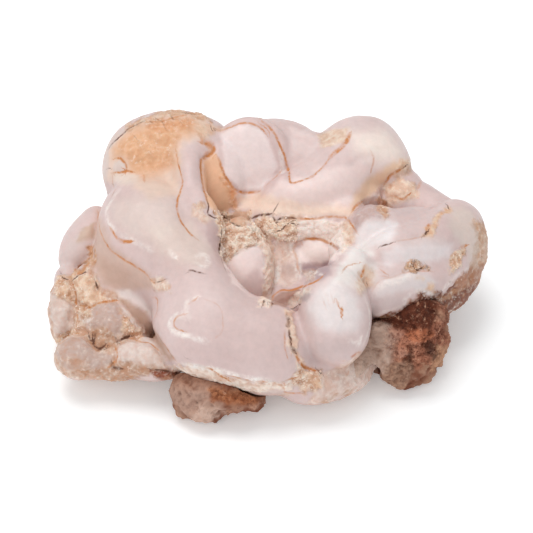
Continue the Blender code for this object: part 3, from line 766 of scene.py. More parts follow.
# Patches of the host rock
ROCK_AREAS = [
    area("#CDB2A6", 0.9, [(296, 372), (350, 360), (372, 366), (380, 384), (372, 410), (296, 412)],
        crust=0.3, soft=3),
    area("#C9AFA0", 0.9, [(340, 356), (362, 322), (392, 322), (396, 350), (388, 372), (372, 382),
        (340, 392)], 0.6, 0.25, soft=2),
    area("#9C7F70", 0.5, [(366, 332), (392, 330), (394, 346), (366, 346)], crust=0.3, soft=3),
    area("#B67A61", 0.9, [(399, 314), (440, 318), (444, 345), (436, 362), (412, 366), (402, 360),
        (391, 350), (400, 339), (389, 331), (396, 322)], 0.3, 0.9, soft=4),
    area("#7E412C", 0.6, [(404, 326), (420, 322), (436, 326), (440, 340), (424, 350), (412, 340)],
        crust=0.9, soft=5),
    area("#C97D59", 0.7, [(410, 330), (424, 326), (432, 334), (424, 344), (410, 342)], crust=0.9, soft=3),
    area("#BE6E44", 0.7, [(394, 352), (402, 348), (404, 358), (396, 362)], crust=0.5, soft=2),
    area("#C79878", 0.8, [(436, 342), (446, 348), (446, 360), (432, 368), (430, 356)], crust=0.5, soft=2),
    area("#BC9787", 0.6, [(387, 328), (403, 333), (398, 343), (406, 352), (393, 363), (385, 346)], 0.3,
        0.7, soft=4),
    # the dark red-brown right under the lip: the rock's own colour, darkened by painted shade from the
    # overhang
    area("#5C2A16", 0.95, [(366, 318), (396, 308), (412, 298), (434, 292), (442, 316), (430, 328),
        (404, 326), (380, 322)], -0.8, 0.8, soft=3),
    area("#55301F", 0.8, [(408, 340), (414, 344), (412, 372), (406, 366)], -0.4, 0.9, soft=2),
    area("#4A2A1C", 0.8, [(428, 340), (434, 342), (432, 356), (426, 354)], -0.4, 0.9, soft=2),
    area("#AB8772", 0.8, [(384, 366), (412, 362), (414, 378), (400, 386), (380, 384)], 0.2, 0.55, soft=3),
    area("#935F4B", 0.9, [(436, 300), (462, 276), (486, 262), (484, 284), (464, 306), (442, 318)], 0.3,
        0.8, soft=3),
    area("#B89686", 0.9, [(172, 384), (205, 382), (226, 404), (216, 420), (190, 418), (170, 400)], 0.6,
        0.25, soft=4),
    area("#BC917C", 0.8, [(172, 374), (200, 376), (226, 388), (214, 392), (176, 388)], crust=0.3, soft=4),
    area("#D8B9A9", 0.7, [(196, 404), (226, 410), (214, 421), (192, 419)], crust=0.35, soft=3),
    area("#B4744F", 0.95, [(210, 390), (246, 390), (264, 396), (250, 406), (228, 407), (214, 402)], -1.0,
        0.7, soft=3),
    area("#B98E79", 0.8, [(228, 408), (252, 404), (280, 398), (272, 402), (240, 410)], crust=0.6, soft=2),
]


def curve_through(corners, step=2.0):
    """Points about a step apart on a smooth curve through the corners."""
    corners = np.array(corners, float)
    padded = np.vstack([2 * corners[0] - corners[1], corners, 2 * corners[-1] - corners[-2]])
    made = []
    for a, b, c, d in zip(padded, padded[1:], padded[2:], padded[3:]):
        count = max(1, int(round(np.linalg.norm(c - b) / step)))
        for t in np.arange(count) / count:
            made.append(0.5 * (2 * b + (c - a) * t + (2 * a - 5 * b + 4 * c - d) * t**2
                               + (3 * b - a - 3 * c + d) * t**3))
    made.append(corners[-1])
    return np.array(made)


def smooth_step(low, high, values):
    t = np.clip((values - low) / (high - low), 0, 1)
    return t * t * (3 - 2 * t)


def picture_axes():
    """The picture's eye, and its directions to the right, up and back towards the eye."""
    lift = math.radians(ELEVATION)
    back = np.array([0.0, -math.cos(lift), math.sin(lift)])
    up = np.array([0.0, math.sin(lift), math.cos(lift)])
    return TARGET + DISTANCE * back, np.array([1.0, 0.0, 0.0]), up, back


def places_in_picture(points):
    """Where points show in the picture, in pixels."""
    eye, right, up, back = picture_axes()
    offset = points - eye
    scale = -DISTANCE / (offset @ back) / SPAN
    across = 0.5 + (offset @ right) * scale
    down = 0.5 - (offset @ up) * scale
    return np.stack([across * PICTURE, down * PICTURE], axis=1)


def seen_at(tree, pixel):
    """The point of the stone that shows at a pixel of the picture, or None."""
    eye, right, up, back = picture_axes()
    across = (pixel[0] / PICTURE - 0.5) * SPAN
    upwards = (0.5 - pixel[1] / PICTURE) * SPAN
    ray = across * right + upwards * up - DISTANCE * back
    hit, _, _, _ = tree.ray_cast(Vector(eye * MM), Vector(ray).normalized())
    return None if hit is None else np.array(hit) / MM


def inside_outline(places, outline):
    """How many pixels each place is inside an outline; less than zero is outside."""
    x, y = places.T
    inside = np.zeros(len(places), bool)
    nearest = np.full(len(places), 1e9)
    corners = np.array(outline, float)
    for (ax, ay), (bx, by) in zip(corners, np.roll(corners, -1, axis=0)):
        if ay != by:
            crossed = (ay > y) != (by > y)
            inside ^= crossed & (x < (bx - ax) * (y - ay) / (by - ay) + ax)
        run_x = bx - ax
        run_y = by - ay
        t = np.clip(((x - ax) * run_x + (y - ay) * run_y) / (run_x**2 + run_y**2), 0, 1)
        nearest = np.minimum(nearest, np.hypot(x - ax - t * run_x, y - ay - t * run_y))
    return np.where(inside, nearest, -nearest)


def area_reach(mark, tree, points, places, normals):
    """The points an area may reach, how far inside it they are, and how surely they face
    the picture at its depth."""
    corners = np.array(mark["outline"], float)
    middle = corners.mean(axis=0)
    samples = [middle]
    for corner in corners:
        samples += [middle + share * (corner - middle) for share in (0.5, 0.92)]
    _, _, _, back = picture_axes()
    depths = [hit @ back for hit in (seen_at(tree, pixel) for pixel in samples) if hit is not None]
    if not depths:
        print("area not laid", mark["colour"], middle)
        return np.zeros(0, int), None, None
    margin = 2 * mark["soft"]
    near = np.flatnonzero(((places > corners.min(axis=0) - margin)
                           & (places < corners.max(axis=0) + margin)).all(axis=1))
    depth = points[near] @ back
    beyond = np.maximum(min(depths) - depth, depth - max(depths))
    sure = (1 - smooth_step(3.0, 6.0, beyond)) * smooth_step(-0.5, -0.1, normals[near] @ back)
    near = near[sure > 0]
    sure = sure[sure > 0]
    return near, inside_outline(places[near], mark["outline"]), sure


def swell_areas(obj, areas):
    """Swell the areas that stand proud, and sink the ones that are hollow."""
    tree = BVHTree.FromObject(obj, bpy.context.evaluated_depsgraph_get())
    points = points_of(obj)
    normals = normals_of(obj)
    wander = wandering(points)
    places = places_in_picture(points + wander)
    rise = np.zeros(len(points))
    shoulder = 5.0             # pixels
    for mark in areas:
        if mark["rise"]:
            near, depth, sure = area_reach(mark, tree, points, places, normals)
            if len(near):
                swell = 1 - np.exp(-np.maximum(depth, 0) / shoulder)
                rise[near] += mark["rise"] * swell * sure
    put_points(obj, points + rise[:, None] * normals)


def paint_areas(obj, areas, base):
    """The colour of every point and how crusty it is, after all the areas."""
    tree = BVHTree.FromObject(obj, bpy.context.evaluated_depsgraph_get())
    points = points_of(obj)
    normals = normals_of(obj)
    places = places_in_picture(points + wandering(points))
    speckle = soft_noise(points, 1.6, 11, 3)
    ragged = soft_noise(points, 4.5, 13, 3)
    colour = base.copy()
    crust = np.zeros(len(points))
    for mark in areas:
        near, depth, sure = area_reach(mark, tree, points, places, normals)
        if not len(near):
            continue
        depth += (1.5 + 3.0 * mark["crust"]) * speckle[near] + 5.0 * mark["crust"] * ragged[near]
        cover = smooth_step(-mark["soft"], mark["soft"], depth) * sure
        amount = (mark["strength"] * cover)[:, None]
        colour[near] = colour[near] * (1 - amount) + paint(mark["colour"]) * amount
        crust[near] = crust[near] * (1 - cover) + mark["crust"] * cover
    return colour, crust


def give(obj, name, values):
    """Store one value a vertex on obj, for its material to read."""
    attribute = obj.data.attributes.new(name, "FLOAT", "POINT")
    attribute.data.foreach_set("value", values.astype(np.float32))


def give_colour(obj, name, colours):
    attribute = obj.data.attributes.new(name, "FLOAT_COLOR", "POINT")
    whole = np.hstack([colours, np.ones((len(colours), 1))])
    attribute.data.foreach_set("color", whole.astype(np.float32).ravel())


def wandering(points):
    """Small offsets that keep drawn edges from running smooth."""
    return np.stack([
        0.45 * soft_noise(points, 5.0, 21 + i) + 0.2 * soft_noise(points, 1.4, 31 + i) for i in range(3)
    ], axis=1)


def laid_on(tree, corners):
    """A line of the picture as pairs of neighbouring points on the stone, each with its
    place along the line."""
    hits = [seen_at(tree, pixel) for pixel in curve_through(corners)]
    longest_jump = 1.8
    pairs = []
    for i, (a, b) in enumerate(zip(hits, hits[1:])):
        if a is not None and b is not None and np.linalg.norm(b - a) < longest_jump:
            pairs.append((a, b, i / len(hits)))
    return pairs


def line_distance(points, normals, pairs, reach):
    """Which points are within reach of a laid line, how far they are from it, on which
    side, and where along it."""
    ends = np.array([end for a, b, _ in pairs for end in (a, b)])
    in_box = (points > ends.min(axis=0) - reach) & (points < ends.max(axis=0) + reach)
    near = np.flatnonzero(in_box.all(axis=1))
    here = points[near]
    best = np.full(len(near), reach)
    side = np.zeros(len(near))
    along = np.zeros(len(near))
    for a, b, place in pairs:
        run = b - a
        offset = here - a
        t = np.clip(offset @ run / (run @ run), 0, 1)
        apart = offset - t[:, None] * run
        distance = np.sqrt(np.square(apart).sum(axis=1))
        closer = distance < best
        best[closer] = distance[closer]
        turn = (np.cross(run, apart[closer]) * normals[near][closer]).sum(axis=1)
        side[closer] = np.where(turn > 0, distance[closer], -distance[closer])
        along[closer] = place
    found = best < reach
    return near[found], best[found], side[found], along[found]


def draw_lines(obj):
    """Raise or cut every line into the surface, and store where its colour goes."""
    tree = BVHTree.FromObject(obj, bpy.context.evaluated_depsgraph_get())
    points = points_of(obj)
    normals = normals_of(obj)
    wandered = points + 0.6 * wandering(points)
    patchy = 0.75 + 0.5 * soft_noise(points, 2.5, 41)
    rise = np.zeros(len(points))
    reach = 2.4
    layers = {}
    for kind in ("rust_and_groove_shade", "crack", "pale"):
        layers[kind] = [np.full(len(points), reach), np.zeros(len(points)), np.full(len(points), reach)]
    for mark in LINES:
        pairs = laid_on(tree, mark["at"])
        if not pairs:
            print("line not laid", mark["kind"], mark["at"][0])
            continue
        near, distance, side, along = line_distance(wandered, normals, pairs, reach)
        taper = 0.5 + 0.5 * smooth_step(0, 0.15, along) * (1 - smooth_step(0.8, 1.0, along))
        profile = np.exp(-np.square(distance / mark["spread"]))
        rise[near] += 0.6 * mark["rise"] * taper * patchy[near] * profile
        nearest, strength, signed = layers[mark["kind"]]
        closer = distance < nearest[near]
        picked = near[closer]
        nearest[picked] = distance[closer]
        fade = 1 - smooth_step(0.6, 1.4, distance)
        strength[picked] = (mark["strength"] * taper * patchy[near] * fade)[closer]
        signed[picked] = (side * 0.3 / mark["width"])[closer]
    for kind, (_, strength, signed) in layers.items():
        give(obj, kind + "_side", signed)
        give(obj, kind + "_strength", np.minimum(strength, 1))
    put_points(obj, points + rise[:, None] * normals)


def crease_depth(points):
    """Distance between the two nearest groups of lobes: small in a crease."""
    first = np.full(len(points), FAR)
    second = np.full(len(points), FAR)
    for group in CHALCEDONY:
        distance = group_distance(points, group)
        second = np.minimum(second, np.maximum(first, distance))
        first = np.minimum(first, distance)
    return second - first


def thin_out(obj, triangles, keep):
    """Bring obj under a number of triangles, least where keep is high."""
    bm = bmesh.new()
    bm.from_mesh(obj.data)
    bmesh.ops.triangulate(bm, faces=bm.faces)
    bm.to_mesh(obj.data)
    bm.free()
    group = obj.vertex_groups.new(name="spare")
    for level_of_keep in (0.0, 0.5):
        chosen = np.flatnonzero((keep >= level_of_keep) & (keep < level_of_keep + 0.5))
        group.add(chosen.tolist(), 1.0 - level_of_keep, "REPLACE")
    modifier = obj.modifiers.new("thin", "DECIMATE")
    modifier.ratio = min(1.0, triangles / len(obj.data.polygons))
    modifier.vertex_group = group.name
    modifier.vertex_group_factor = 0.3
    apply_modifiers(obj)
    obj.vertex_groups.clear()


def paint(hex_colour):
    """A colour written as sRGB hex, as three linear values to work with."""
    return np.array(linear(hex_colour)[:3])


def mixed(share, first, second):
    """A colour for every share between two colours."""
    return np.outer(1 - share, paint(first)) + np.outer(share, paint(second))


def stone_colours(stone, points, crease_gap, faced):
    """The colour and crustiness of every point, and the ridges that run through the crust.
    The side that the picture doesn't show has weathered patches of its own."""
    cloud = 0.5 + 0.5 * soft_noise(points, 14.0, 8, 3)
    base = mixed(np.clip(cloud, 0, 1), "#D2B7B3", "#DDC6C2")
    unseen = 1 - smooth_step(-0.5, 0.1, faced)
    weathered = unseen * smooth_step(-0.25, 0.2, soft_noise(points, 9.0, 9, 4))
    veined = mixed(smooth_step(-0.4, 0.4, soft_noise(points, 4.0, 14, 3)), "#C39A7C", "#E3CDBF")
    base += weathered[:, None] * (veined - base)
    colour, crust = paint_areas(stone, AREAS, base)
    crust = np.maximum(crust, 0.7 * weathered)

    # brown in the creases, partly dirt and partly painted shade, and painted shade on the faces that turn
    # down under the overhangs
    crease = 1 - smooth_step(0.0, 1.6, crease_gap + 0.5 * soft_noise(points, 2.0, 15))
    below = 1 - smooth_step(-0.9, -0.3, normals_of(stone)[:, 2])
    crease_dirt_and_painted_shade = np.clip(0.6 * crease * np.maximum(0.4 * (crust > 0.1), unseen) + 0.6 * below, 0, 1)
    colour += crease_dirt_and_painted_shade[:, None] * (paint("#B07F5F") - colour)

    # crust: warmer as a whole; rusty in its furrows, where brown crust is darkened instead as painted shade;
    # cream on its crowns, partly a painted highlight
    light_enough = colour[:, :1] > 0.3
    colour += 0.3 * crust[:, None] * (paint("#FBD5B4") - colour) * light_enough
    ridges = 1 - 2 * np.abs(soft_noise(points, 2.3, 3, 3))
    furrow = crust * (1 - smooth_step(0.1, 0.75, ridges))
    brown = colour[:, :1] < 0.3
    furrows = np.where(brown, colour * 0.7, paint("#C07F52"))
    colour += furrow[:, None] * 0.6 * (furrows - colour)
    crown = 0.5 * crust * smooth_step(0.8, 1.0, ridges)
    colour += crown[:, None] * (paint("#F8EADC") - colour)
    return colour, crust, ridges


def stone_relief(points, crust, ridges, crease_gap, faced):
    """How far every point stands proud of the lobes, in millimetres."""
    swell = 0.3 * soft_noise(points, 9.0, 1) + 0.06 * soft_noise(points, 2.6, 2)
    grit = crust * (0.45 * (ridges - 0.5) + 0.6 * soft_noise(points, 4.0, 4, 3)
                    + 0.15 * soft_noise(points, 0.9, 12))
    turned_away = 1 - smooth_step(-0.4, -0.1, faced)
    hollows = turned_away * np.minimum(5.0 * soft_noise(points, 8.0, 18, 4) - 0.3, 0)
    behind = 1 - smooth_step(-0.85, -0.4, faced)
    rugged = behind * (2.6 * soft_noise(points, 15.0, 16, 4) + 1.0 * np.abs(soft_noise(points, 4.0, 17, 3))
                       + 1.3 * np.exp(-np.square(crease_gap / 2.6)))
    return swell + grit + hollows + rugged


def make_stone():
    """The chalcedony with its marks, in the frame of the tables."""
    stone = lobes_joined("chalcedony_surface", CHALCEDONY)
    remesh(stone, FIRST_VOXEL)
    ease(stone, CHALCEDONY, PITS, 5)
    remesh(stone, STONE_VOXEL)
    ease(stone, CHALCEDONY, PITS, 2, 0.4)
    swell_areas(stone, AREAS)
    remesh(stone, STONE_VOXEL)
    print("stone quads", len(stone.data.polygons))
    _, _, _, back = picture_axes()
    points = points_of(stone)
    normals = normals_of(stone)
    faced = normals @ back     # 1 where the surface faces the picture
    crease_gap = crease_depth(points)
    colour, crust, ridges = stone_colours(stone, points, crease_gap, faced)
    give_colour(stone, "colour", colour)
    give(stone, "crust", crust)
    relief = stone_relief(points, crust, ridges, crease_gap, faced)
    put_points(stone, points + relief[:, None] * normals)
    draw_lines(stone)
    keep = np.clip(smooth_step(-0.6, 0.0, faced) + 0.5 * (crust > 0.1), 0, 0.99)
    thin_out(stone, STONE_TRIANGLES, keep)
    print("stone triangles", len(stone.data.polygons))
    return stone


def finish_piece(obj, name, slot, material, *nodes):
    """Move a piece to the origin of the stone and attach it to the root body."""
    obj.data.transform(Matrix.Translation(Vector(-MIDDLE * MM)))
    obj.name = name
    obj.data.name = name
    obj.data.materials.clear()
    obj.data.materials.append(material)
    obj.data.shade_smooth()
    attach(obj, "root")
    if nodes:
        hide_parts(*nodes)


def meet_stone(rock):
    """Bring the faces along the seam up to the stone, so no gap shows."""
    points = points_of(rock)
    gap, slope = surface_slope(points, CHALCEDONY, PITS)
    towards = -slope / np.maximum(np.linalg.norm(slope, axis=1), 0.2)[:, None]
    facing_it = smooth_step(-0.3, 0.3, (towards * normals_of(rock)).sum(axis=1))
    move = np.clip(gap - 0.1, 0, 5) * facing_it * (1 - smooth_step(2.0, 4.0, gap))
    put_points(rock, points + move[:, None] * towards)


def chip(points, blocks):
    """Break blocks of a surface to flat faces: each has its middle, its reach and a seed."""
    for middle, reach, seed in blocks:
        draw = random.Random(seed)
        offset = points - np.array(middle)
        near = 1 - smooth_step(1.15 * reach, 1.5 * reach, np.linalg.norm(offset, axis=1))
        for _ in range(16):
            facing_to = Vector([draw.gauss(0, 1) for _ in range(3)]).normalized()
            beyond = offset @ np.array(facing_to) - draw.uniform(0.78, 1.0) * reach
            points = points - (np.maximum(beyond, 0) * near)[:, None] * np.array(facing_to)
            offset = points - np.array(middle)
    return points


def trimmed(points, trims):
    """Points of the rock with the parts that stand too far out drawn back."""
    for outline, front, distance in trims:
        cover = smooth_step(-4, 4, inside_outline(places_in_picture(points), outline))
        cover *= 1 - smooth_step(front - 3, front, points[:, 1])
        points = points + np.outer(cover, (0, distance, 0))
    return points


def make_rock():
    """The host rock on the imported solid's own form, broken and grainy where it shows."""
    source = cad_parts["host_rock"]
    rock = new_object("host_rock_surface", source.data.copy())
    rock.data.transform(Matrix.Translation(Vector(MIDDLE * MM)))
    bm = bmesh.new()
    bm.from_mesh(rock.data)
    bmesh.ops.remove_doubles(bm, verts=bm.verts, dist=0.00001)
    bm.to_mesh(rock.data)
    bm.free()
    remesh(rock, ROCK_VOXEL)
    modifier = rock.modifiers.new("soften", "SMOOTH")
    modifier.factor = 0.5
    modifier.iterations = 6
    apply_modifiers(rock)
    meet_stone(rock)
    swell_areas(rock, ROCK_AREAS)
    put_points(rock, trimmed(chip(points_of(rock), ROCK_BLOCKS), ROCK_TRIMS))
    points = points_of(rock)
    normals = normals_of(rock)
    gap = surface_distance(points, CHALCEDONY, PITS)
    clear = smooth_step(0.6, 2.5, gap)
    above = smooth_step(0.0, 1.5, points[:, 2])
    coarse = soft_noise(points, 4.5, 5, 3)
    base = mixed(smooth_step(-0.4, 0.4, coarse), "#7B4833", "#A98069")
    colour, crust = paint_areas(rock, ROCK_AREAS, base)
    ridges = 1 - 2 * np.abs(soft_noise(points, 3.2, 7, 3))
    fine = 1 - 2 * np.abs(soft_noise(points, 1.5, 6, 3))
    lumps = 0.9 * coarse + 0.6 * ridges + (0.25 + 0.35 * crust) * (fine - 0.4)
    put_points(rock, points + (lumps * clear * above)[:, None] * normals)
    # darker in the low ground between the lumps and in the pores of the crust: the rock's own dark pits,
    # with painted shade in these hollows
    shade = smooth_step(-0.6, 0.3, ridges) * (1 - crust * (1 - smooth_step(0.0, 0.7, fine)))
    colour *= np.array((0.6, 0.48, 0.42)) + shade[:, None] * np.array((0.45, 0.55, 0.6))
    give_colour(rock, "colour", colour)
    give(rock, "crust", crust)
    print("rock quads", len(rock.data.polygons))
    return rock


def crystal_mesh():
    """One grain: a blunt crystal of 20 faces, one unit high."""
    bm = bmesh.new()
    bmesh.ops.create_icosphere(bm, subdivisions=1, radius=0.5)
    bmesh.ops.scale(bm, vec=(0.75, 0.6, 1.0), verts=bm.verts)
    return made_mesh("crystal", bm)


def grain_nodes():
    """Geometry nodes that strew crystals over the crusty part of a surface."""
    tree = bpy.data.node_groups.new("strewn crystals", "GeometryNodeTree")
    inputs = {
        "Surface": "Geometry", "Crystal": "Object", "Crustiness": "Float", "Per Square Metre": "Float",
        "Smallest": "Float", "Largest": "Float", "Seed": "Int", "Material": "Material",
    }
    for label, kind in inputs.items():
        tree.interface.new_socket(label, in_out="INPUT", socket_type="NodeSocket" + kind)
    tree.interface.new_socket("Crystals", in_out="OUTPUT", socket_type="NodeSocketGeometry")
    given = add(tree, "NodeGroupInput").outputs
    crust = add(tree, "GeometryNodeInputNamedAttribute", {"Name": "crust"}, data_type="FLOAT").outputs[0]
    past = add(tree, "ShaderNodeMath", {0: crust, 1: given["Crustiness"]},
               operation="GREATER_THAN").outputs[0]
    density = add(tree, "ShaderNodeMath", {0: past, 1: given["Per Square Metre"]},
                  operation="MULTIPLY").outputs[0]
    strewn = add(tree, "GeometryNodeDistributePointsOnFaces",
                 {"Mesh": given["Surface"], "Density": density, "Seed": given["Seed"]})
    turn = add(tree, "FunctionNodeRandomValue", {"Min": (0, 0, 0), "Max": FULL_TURN, "Seed": 3},
               data_type="FLOAT_VECTOR").outputs[0]
    size = add(tree, "FunctionNodeRandomValue", {2: given["Smallest"], 3: given["Largest"], "Seed": 4},
               data_type="FLOAT").outputs[1]
    crystal = add(tree, "GeometryNodeObjectInfo", {"Object": given["Crystal"]}).outputs["Geometry"]
    placed = add(tree, "GeometryNodeInstanceOnPoints",
                 {"Points": strewn.outputs["Points"], "Instance": crystal,
                  "Rotation": turn, "Scale": size}).outputs[0]
    shade = add(tree, "FunctionNodeRandomValue", {"Seed": 5}, data_type="FLOAT").outputs[1]
    shaded = add(tree, "GeometryNodeStoreNamedAttribute",
                 {"Geometry": placed, "Name": "shade", "Value": shade},
                 data_type="FLOAT", domain="INSTANCE").outputs[0]
    real = add(tree, "GeometryNodeRealizeInstances", {"Geometry": shaded}).outputs[0]
    dressed = add(tree, "GeometryNodeSetMaterial",
                  {"Geometry": real, "Material": given["Material"]}).outputs[0]
    add(tree, "NodeGroupOutput", {"Crystals": dressed})
    return tree


def strew(surface, name, tree, settings):
    """Crystals over the crusty part of surface, as a plain mesh."""
    grains = new_object(name, surface.data.copy())
    modifier = grains.modifiers.new("strew", "NODES")
    modifier.node_group = tree
    for item in tree.interface.items_tree:
        if item.in_out == "INPUT" and item.name in settings:
            modifier[item.identifier] = settings[item.name]
    apply_modifiers(grains)
    print(name, "triangles", len(grains.data.polygons))
    return grains


def linear(hex_colour):
    """A colour written as sRGB hex, as Blender's linear values."""
    values = [int(hex_colour[i:i + 2], 16) / 255 for i in (1, 3, 5)]
    return tuple([v / 12.92 if v < 0.04045 else ((v + 0.055) / 1.055) ** 2.4 for v in values] + [1.0])


def add(tree, kind, links=None, **settings):
    """Add a node with its settings; each of its inputs is linked to a socket or set to a value."""
    made = tree.nodes.new(kind)
    for key, value in settings.items():
        setattr(made, key, value)
    for key, value in (links or {}).items():
        if isinstance(value, bpy.types.NodeSocket):
            tree.links.new(value, made.inputs[key])
        else:
            made.inputs[key].default_value = value
    return made


def new_material(name):
    """A material of this name, with its node tree and its shader."""
    material = bpy.data.materials.new(name)
    material.use_nodes = True
    return material, material.node_tree, material.node_tree.nodes["Principled BSDF"]


def hairline(tree, below, place, kind, colour, half_width):
    """The lines of one kind drawn over below."""
    side = add(tree, "ShaderNodeAttribute", attribute_name=kind + "_side").outputs["Fac"]
    strength = add(tree, "ShaderNodeAttribute", attribute_name=kind + "_strength").outputs["Fac"]
    off = add(tree, "ShaderNodeMath", {0: side}, operation="ABSOLUTE").outputs[0]
    core = add(tree, "ShaderNodeMapRange",
               {"Value": off, "From Min": 0.2 * half_width, "From Max": 1.8 * half_width,
                "To Min": 1.0, "To Max": 0.0}, interpolation_type="SMOOTHSTEP").outputs[0]
    # dashes of 0.8 mm, coarser than the real ones so that they show
    speck = add(tree, "ShaderNodeTexNoise",
                {"Vector": place, "Scale": 1000 / 0.8, "Detail": 3.0}).outputs["Fac"]
    broken = add(tree, "ShaderNodeMapRange",
                 {"Value": speck, "From Min": 0.36, "From Max": 0.56, "To Min": 0.35}).outputs[0]
    amount = add(tree, "ShaderNodeMath", {0: core, 1: strength}, operation="MULTIPLY").outputs[0]
    amount = add(tree, "ShaderNodeMath", {0: amount, 1: broken}, operation="MULTIPLY").outputs[0]
    amount = add(tree, "ShaderNodeMath", {0: amount, 1: 1.6},
                 operation="MULTIPLY", use_clamp=True).outputs[0]
    return add(tree, "ShaderNodeMix", {0: amount, 6: below, 7: linear(colour)}, data_type="RGBA").outputs[2]


def crusted(tree, below, place, grain, dark, light, pored_below):
    """Dark pores and pale grains over below, where the surface is crusty."""
    crust = add(tree, "ShaderNodeAttribute", attribute_name="crust").outputs["Fac"]
    speck = add(tree, "ShaderNodeTexNoise", {"Vector": place, "Scale": 1000 / grain, "Detail": 6.0,
                                            "Roughness": 0.7}).outputs["Fac"]
    pores = add(tree, "ShaderNodeMapRange",
                {"Value": speck, "From Min": pored_below, "From Max": pored_below - 0.16},
                interpolation_type="SMOOTHSTEP").outputs[0]
    pores = add(tree, "ShaderNodeMath", {0: pores, 1: crust}, operation="MULTIPLY").outputs[0]
    grains = add(tree, "ShaderNodeMapRange", {"Value": speck, "From Min": 0.54, "From Max": 0.7},
                 interpolation_type="SMOOTHSTEP").outputs[0]
    grains = add(tree, "ShaderNodeMath", {0: grains, 1: crust}, operation="MULTIPLY").outputs[0]
    pored = add(tree, "ShaderNodeMix", {0: pores, 6: below, 7: linear(dark)}, data_type="RGBA").outputs[2]
    return add(tree, "ShaderNodeMix", {0: grains, 6: pored, 7: linear(light)}, data_type="RGBA").outputs[2]


def waxy_chalcedony():
    """Chalcedony, polished by nature to a wax-like skin: pale pink, a little see-through,
    with a soft sheen and no sharp highlight; crusts on it are matt."""
    material, tree, shader = new_material("waxy chalcedony")
    place = add(tree, "ShaderNodeTexCoord").outputs["Object"]
    colour = add(tree, "ShaderNodeAttribute", attribute_name="colour").outputs["Color"]
    mottle = add(tree, "ShaderNodeTexNoise", {"Vector": place, "Scale": 1000 / 1.6, "Detail": 5.0,
                                              "Roughness": 0.65}).outputs["Fac"]
    veil = add(tree, "ShaderNodeMapRange", {"Value": mottle, "From Min": 0.3, "From Max": 0.7,
                                            "To Min": 0.94, "To Max": 1.04}).outputs[0]
    colour = add(tree, "ShaderNodeVectorMath", {0: colour, "Scale": veil}, operation="SCALE").outputs[0]
    colour = crusted(tree, colour, place, 1.4, "#CB8B60", "#FFF0E4", 0.45)
    # pale rims; some of them are painted highlights
    colour = hairline(tree, colour, place, "pale", "#F1E6E0", 0.35)
    # rusty lines; a few weak ones are painted shade in the grooves between the fingers
    colour = hairline(tree, colour, place, "rust_and_groove_shade", "#C98450", 0.2)
    colour = hairline(tree, colour, place, "crack", "#694230", 0.14)
    tree.links.new(colour, shader.inputs["Base Color"])
    crust = add(tree, "ShaderNodeAttribute", attribute_name="crust").outputs["Fac"]
    rough = add(tree, "ShaderNodeMapRange", {"Value": crust, "To Min": 0.46, "To Max": 0.85}).outputs[0]
    tree.links.new(rough, shader.inputs["Roughness"])
    shader.inputs["Specular IOR Level"].default_value = 0.4
    shader.inputs["Subsurface Weight"].default_value = 0.25
    shader.inputs["Subsurface Radius"].default_value = (1.0, 0.6, 0.5)
    shader.inputs["Subsurface Scale"].default_value = 0.0025
    grit = add(tree, "ShaderNodeTexNoise",
               {"Vector": place, "Scale": 1000 / 0.9, "Detail": 5.0}).outputs["Fac"]
    height = add(tree, "ShaderNodeMath", {0: crust, 1: grit}, operation="MULTIPLY").outputs[0]
    bump = add(tree, "ShaderNodeBump",
               {"Strength": 1.0, "Distance": 0.0009, "Height": height}).outputs["Normal"]
    tree.links.new(bump, shader.inputs["Normal"])
    return material


def rough_rock():
    """Iron-stained volcanic rock, broken by hand: matt, grainy, reddish brown with dark
    pits and paler grains."""
    material, tree, shader = new_material("iron-stained rock")
    place = add(tree, "ShaderNodeTexCoord").outputs["Object"]
    colour = add(tree, "ShaderNodeAttribute", attribute_name="colour").outputs["Color"]
    colour = crusted(tree, colour, place, 1.2, "#4A2012", "#DDAA8C", 0.5)
    tree.links.new(colour, shader.inputs["Base Color"])
    shader.inputs["Roughness"].default_value = 0.88
    shader.inputs["Specular IOR Level"].default_value = 0.3
    fine = add(tree, "ShaderNodeTexNoise",
               {"Vector": place, "Scale": 1000 / 0.9, "Detail": 5.0}).outputs["Fac"]
    bump = add(tree, "ShaderNodeBump",
               {"Strength": 0.8, "Distance": 0.0006, "Height": fine}).outputs["Normal"]
    tree.links.new(bump, shader.inputs["Normal"])
    return material


def grain_colour(tree, dark, light):
    """The colour of the crust under each grain, turned darker or lighter grain by grain."""
    shade = add(tree, "ShaderNodeAttribute", attribute_name="shade").outputs["Fac"]
    under = add(tree, "ShaderNodeAttribute", attribute_name="colour").outputs["Color"]
    darker = add(tree, "ShaderNodeMapRange",
                 {"Value": shade, "From Max": 0.35, "To Min": 0.6, "To Max": 0.0}).outputs[0]
    lighter = add(tree, "ShaderNodeMapRange",
                  {"Value": shade, "From Min": 0.5, "To Max": 0.7}).outputs[0]
    dimmed = add(tree, "ShaderNodeMix", {0: darker, 6: under, 7: linear(dark)}, data_type="RGBA").outputs[2]
    return add(tree, "ShaderNodeMix", {0: lighter, 6: dimmed, 7: linear(light)}, data_type="RGBA").outputs[2]


def druse():
    """Small quartz crystals dusted with iron: cream, white and rusty grains, glassier than
    the crust they sit in."""
    material, tree, shader = new_material("drusy quartz")
    tree.links.new(grain_colour(tree, "#CB9A76", "#FFF6EE"), shader.inputs["Base Color"])
    shader.inputs["Roughness"].default_value = 0.35
    return material


def rock_grit():
    """Loose-looking grains of broken rock: dark, red-brown and pale ones."""
    material, tree, shader = new_material("rock grit")
    tree.links.new(grain_colour(tree, "#3A1B11", "#8F5238"), shader.inputs["Base Color"])
    shader.inputs["Roughness"].default_value = 0.8
    return material


def white_paper():
    """Matt white board, lit from behind as on a light table: the plain floor."""
    material, _, shader = new_material("white board")
    shader.inputs["Base Color"].default_value = (0.93, 0.945, 0.955, 1)
    shader.inputs["Roughness"].default_value = 0.9
    shader.inputs["Specular IOR Level"].default_value = 0.1
    shader.inputs["Emission Color"].default_value = (1, 1, 1, 1)
    shader.inputs["Emission Strength"].default_value = 0.22
    return material


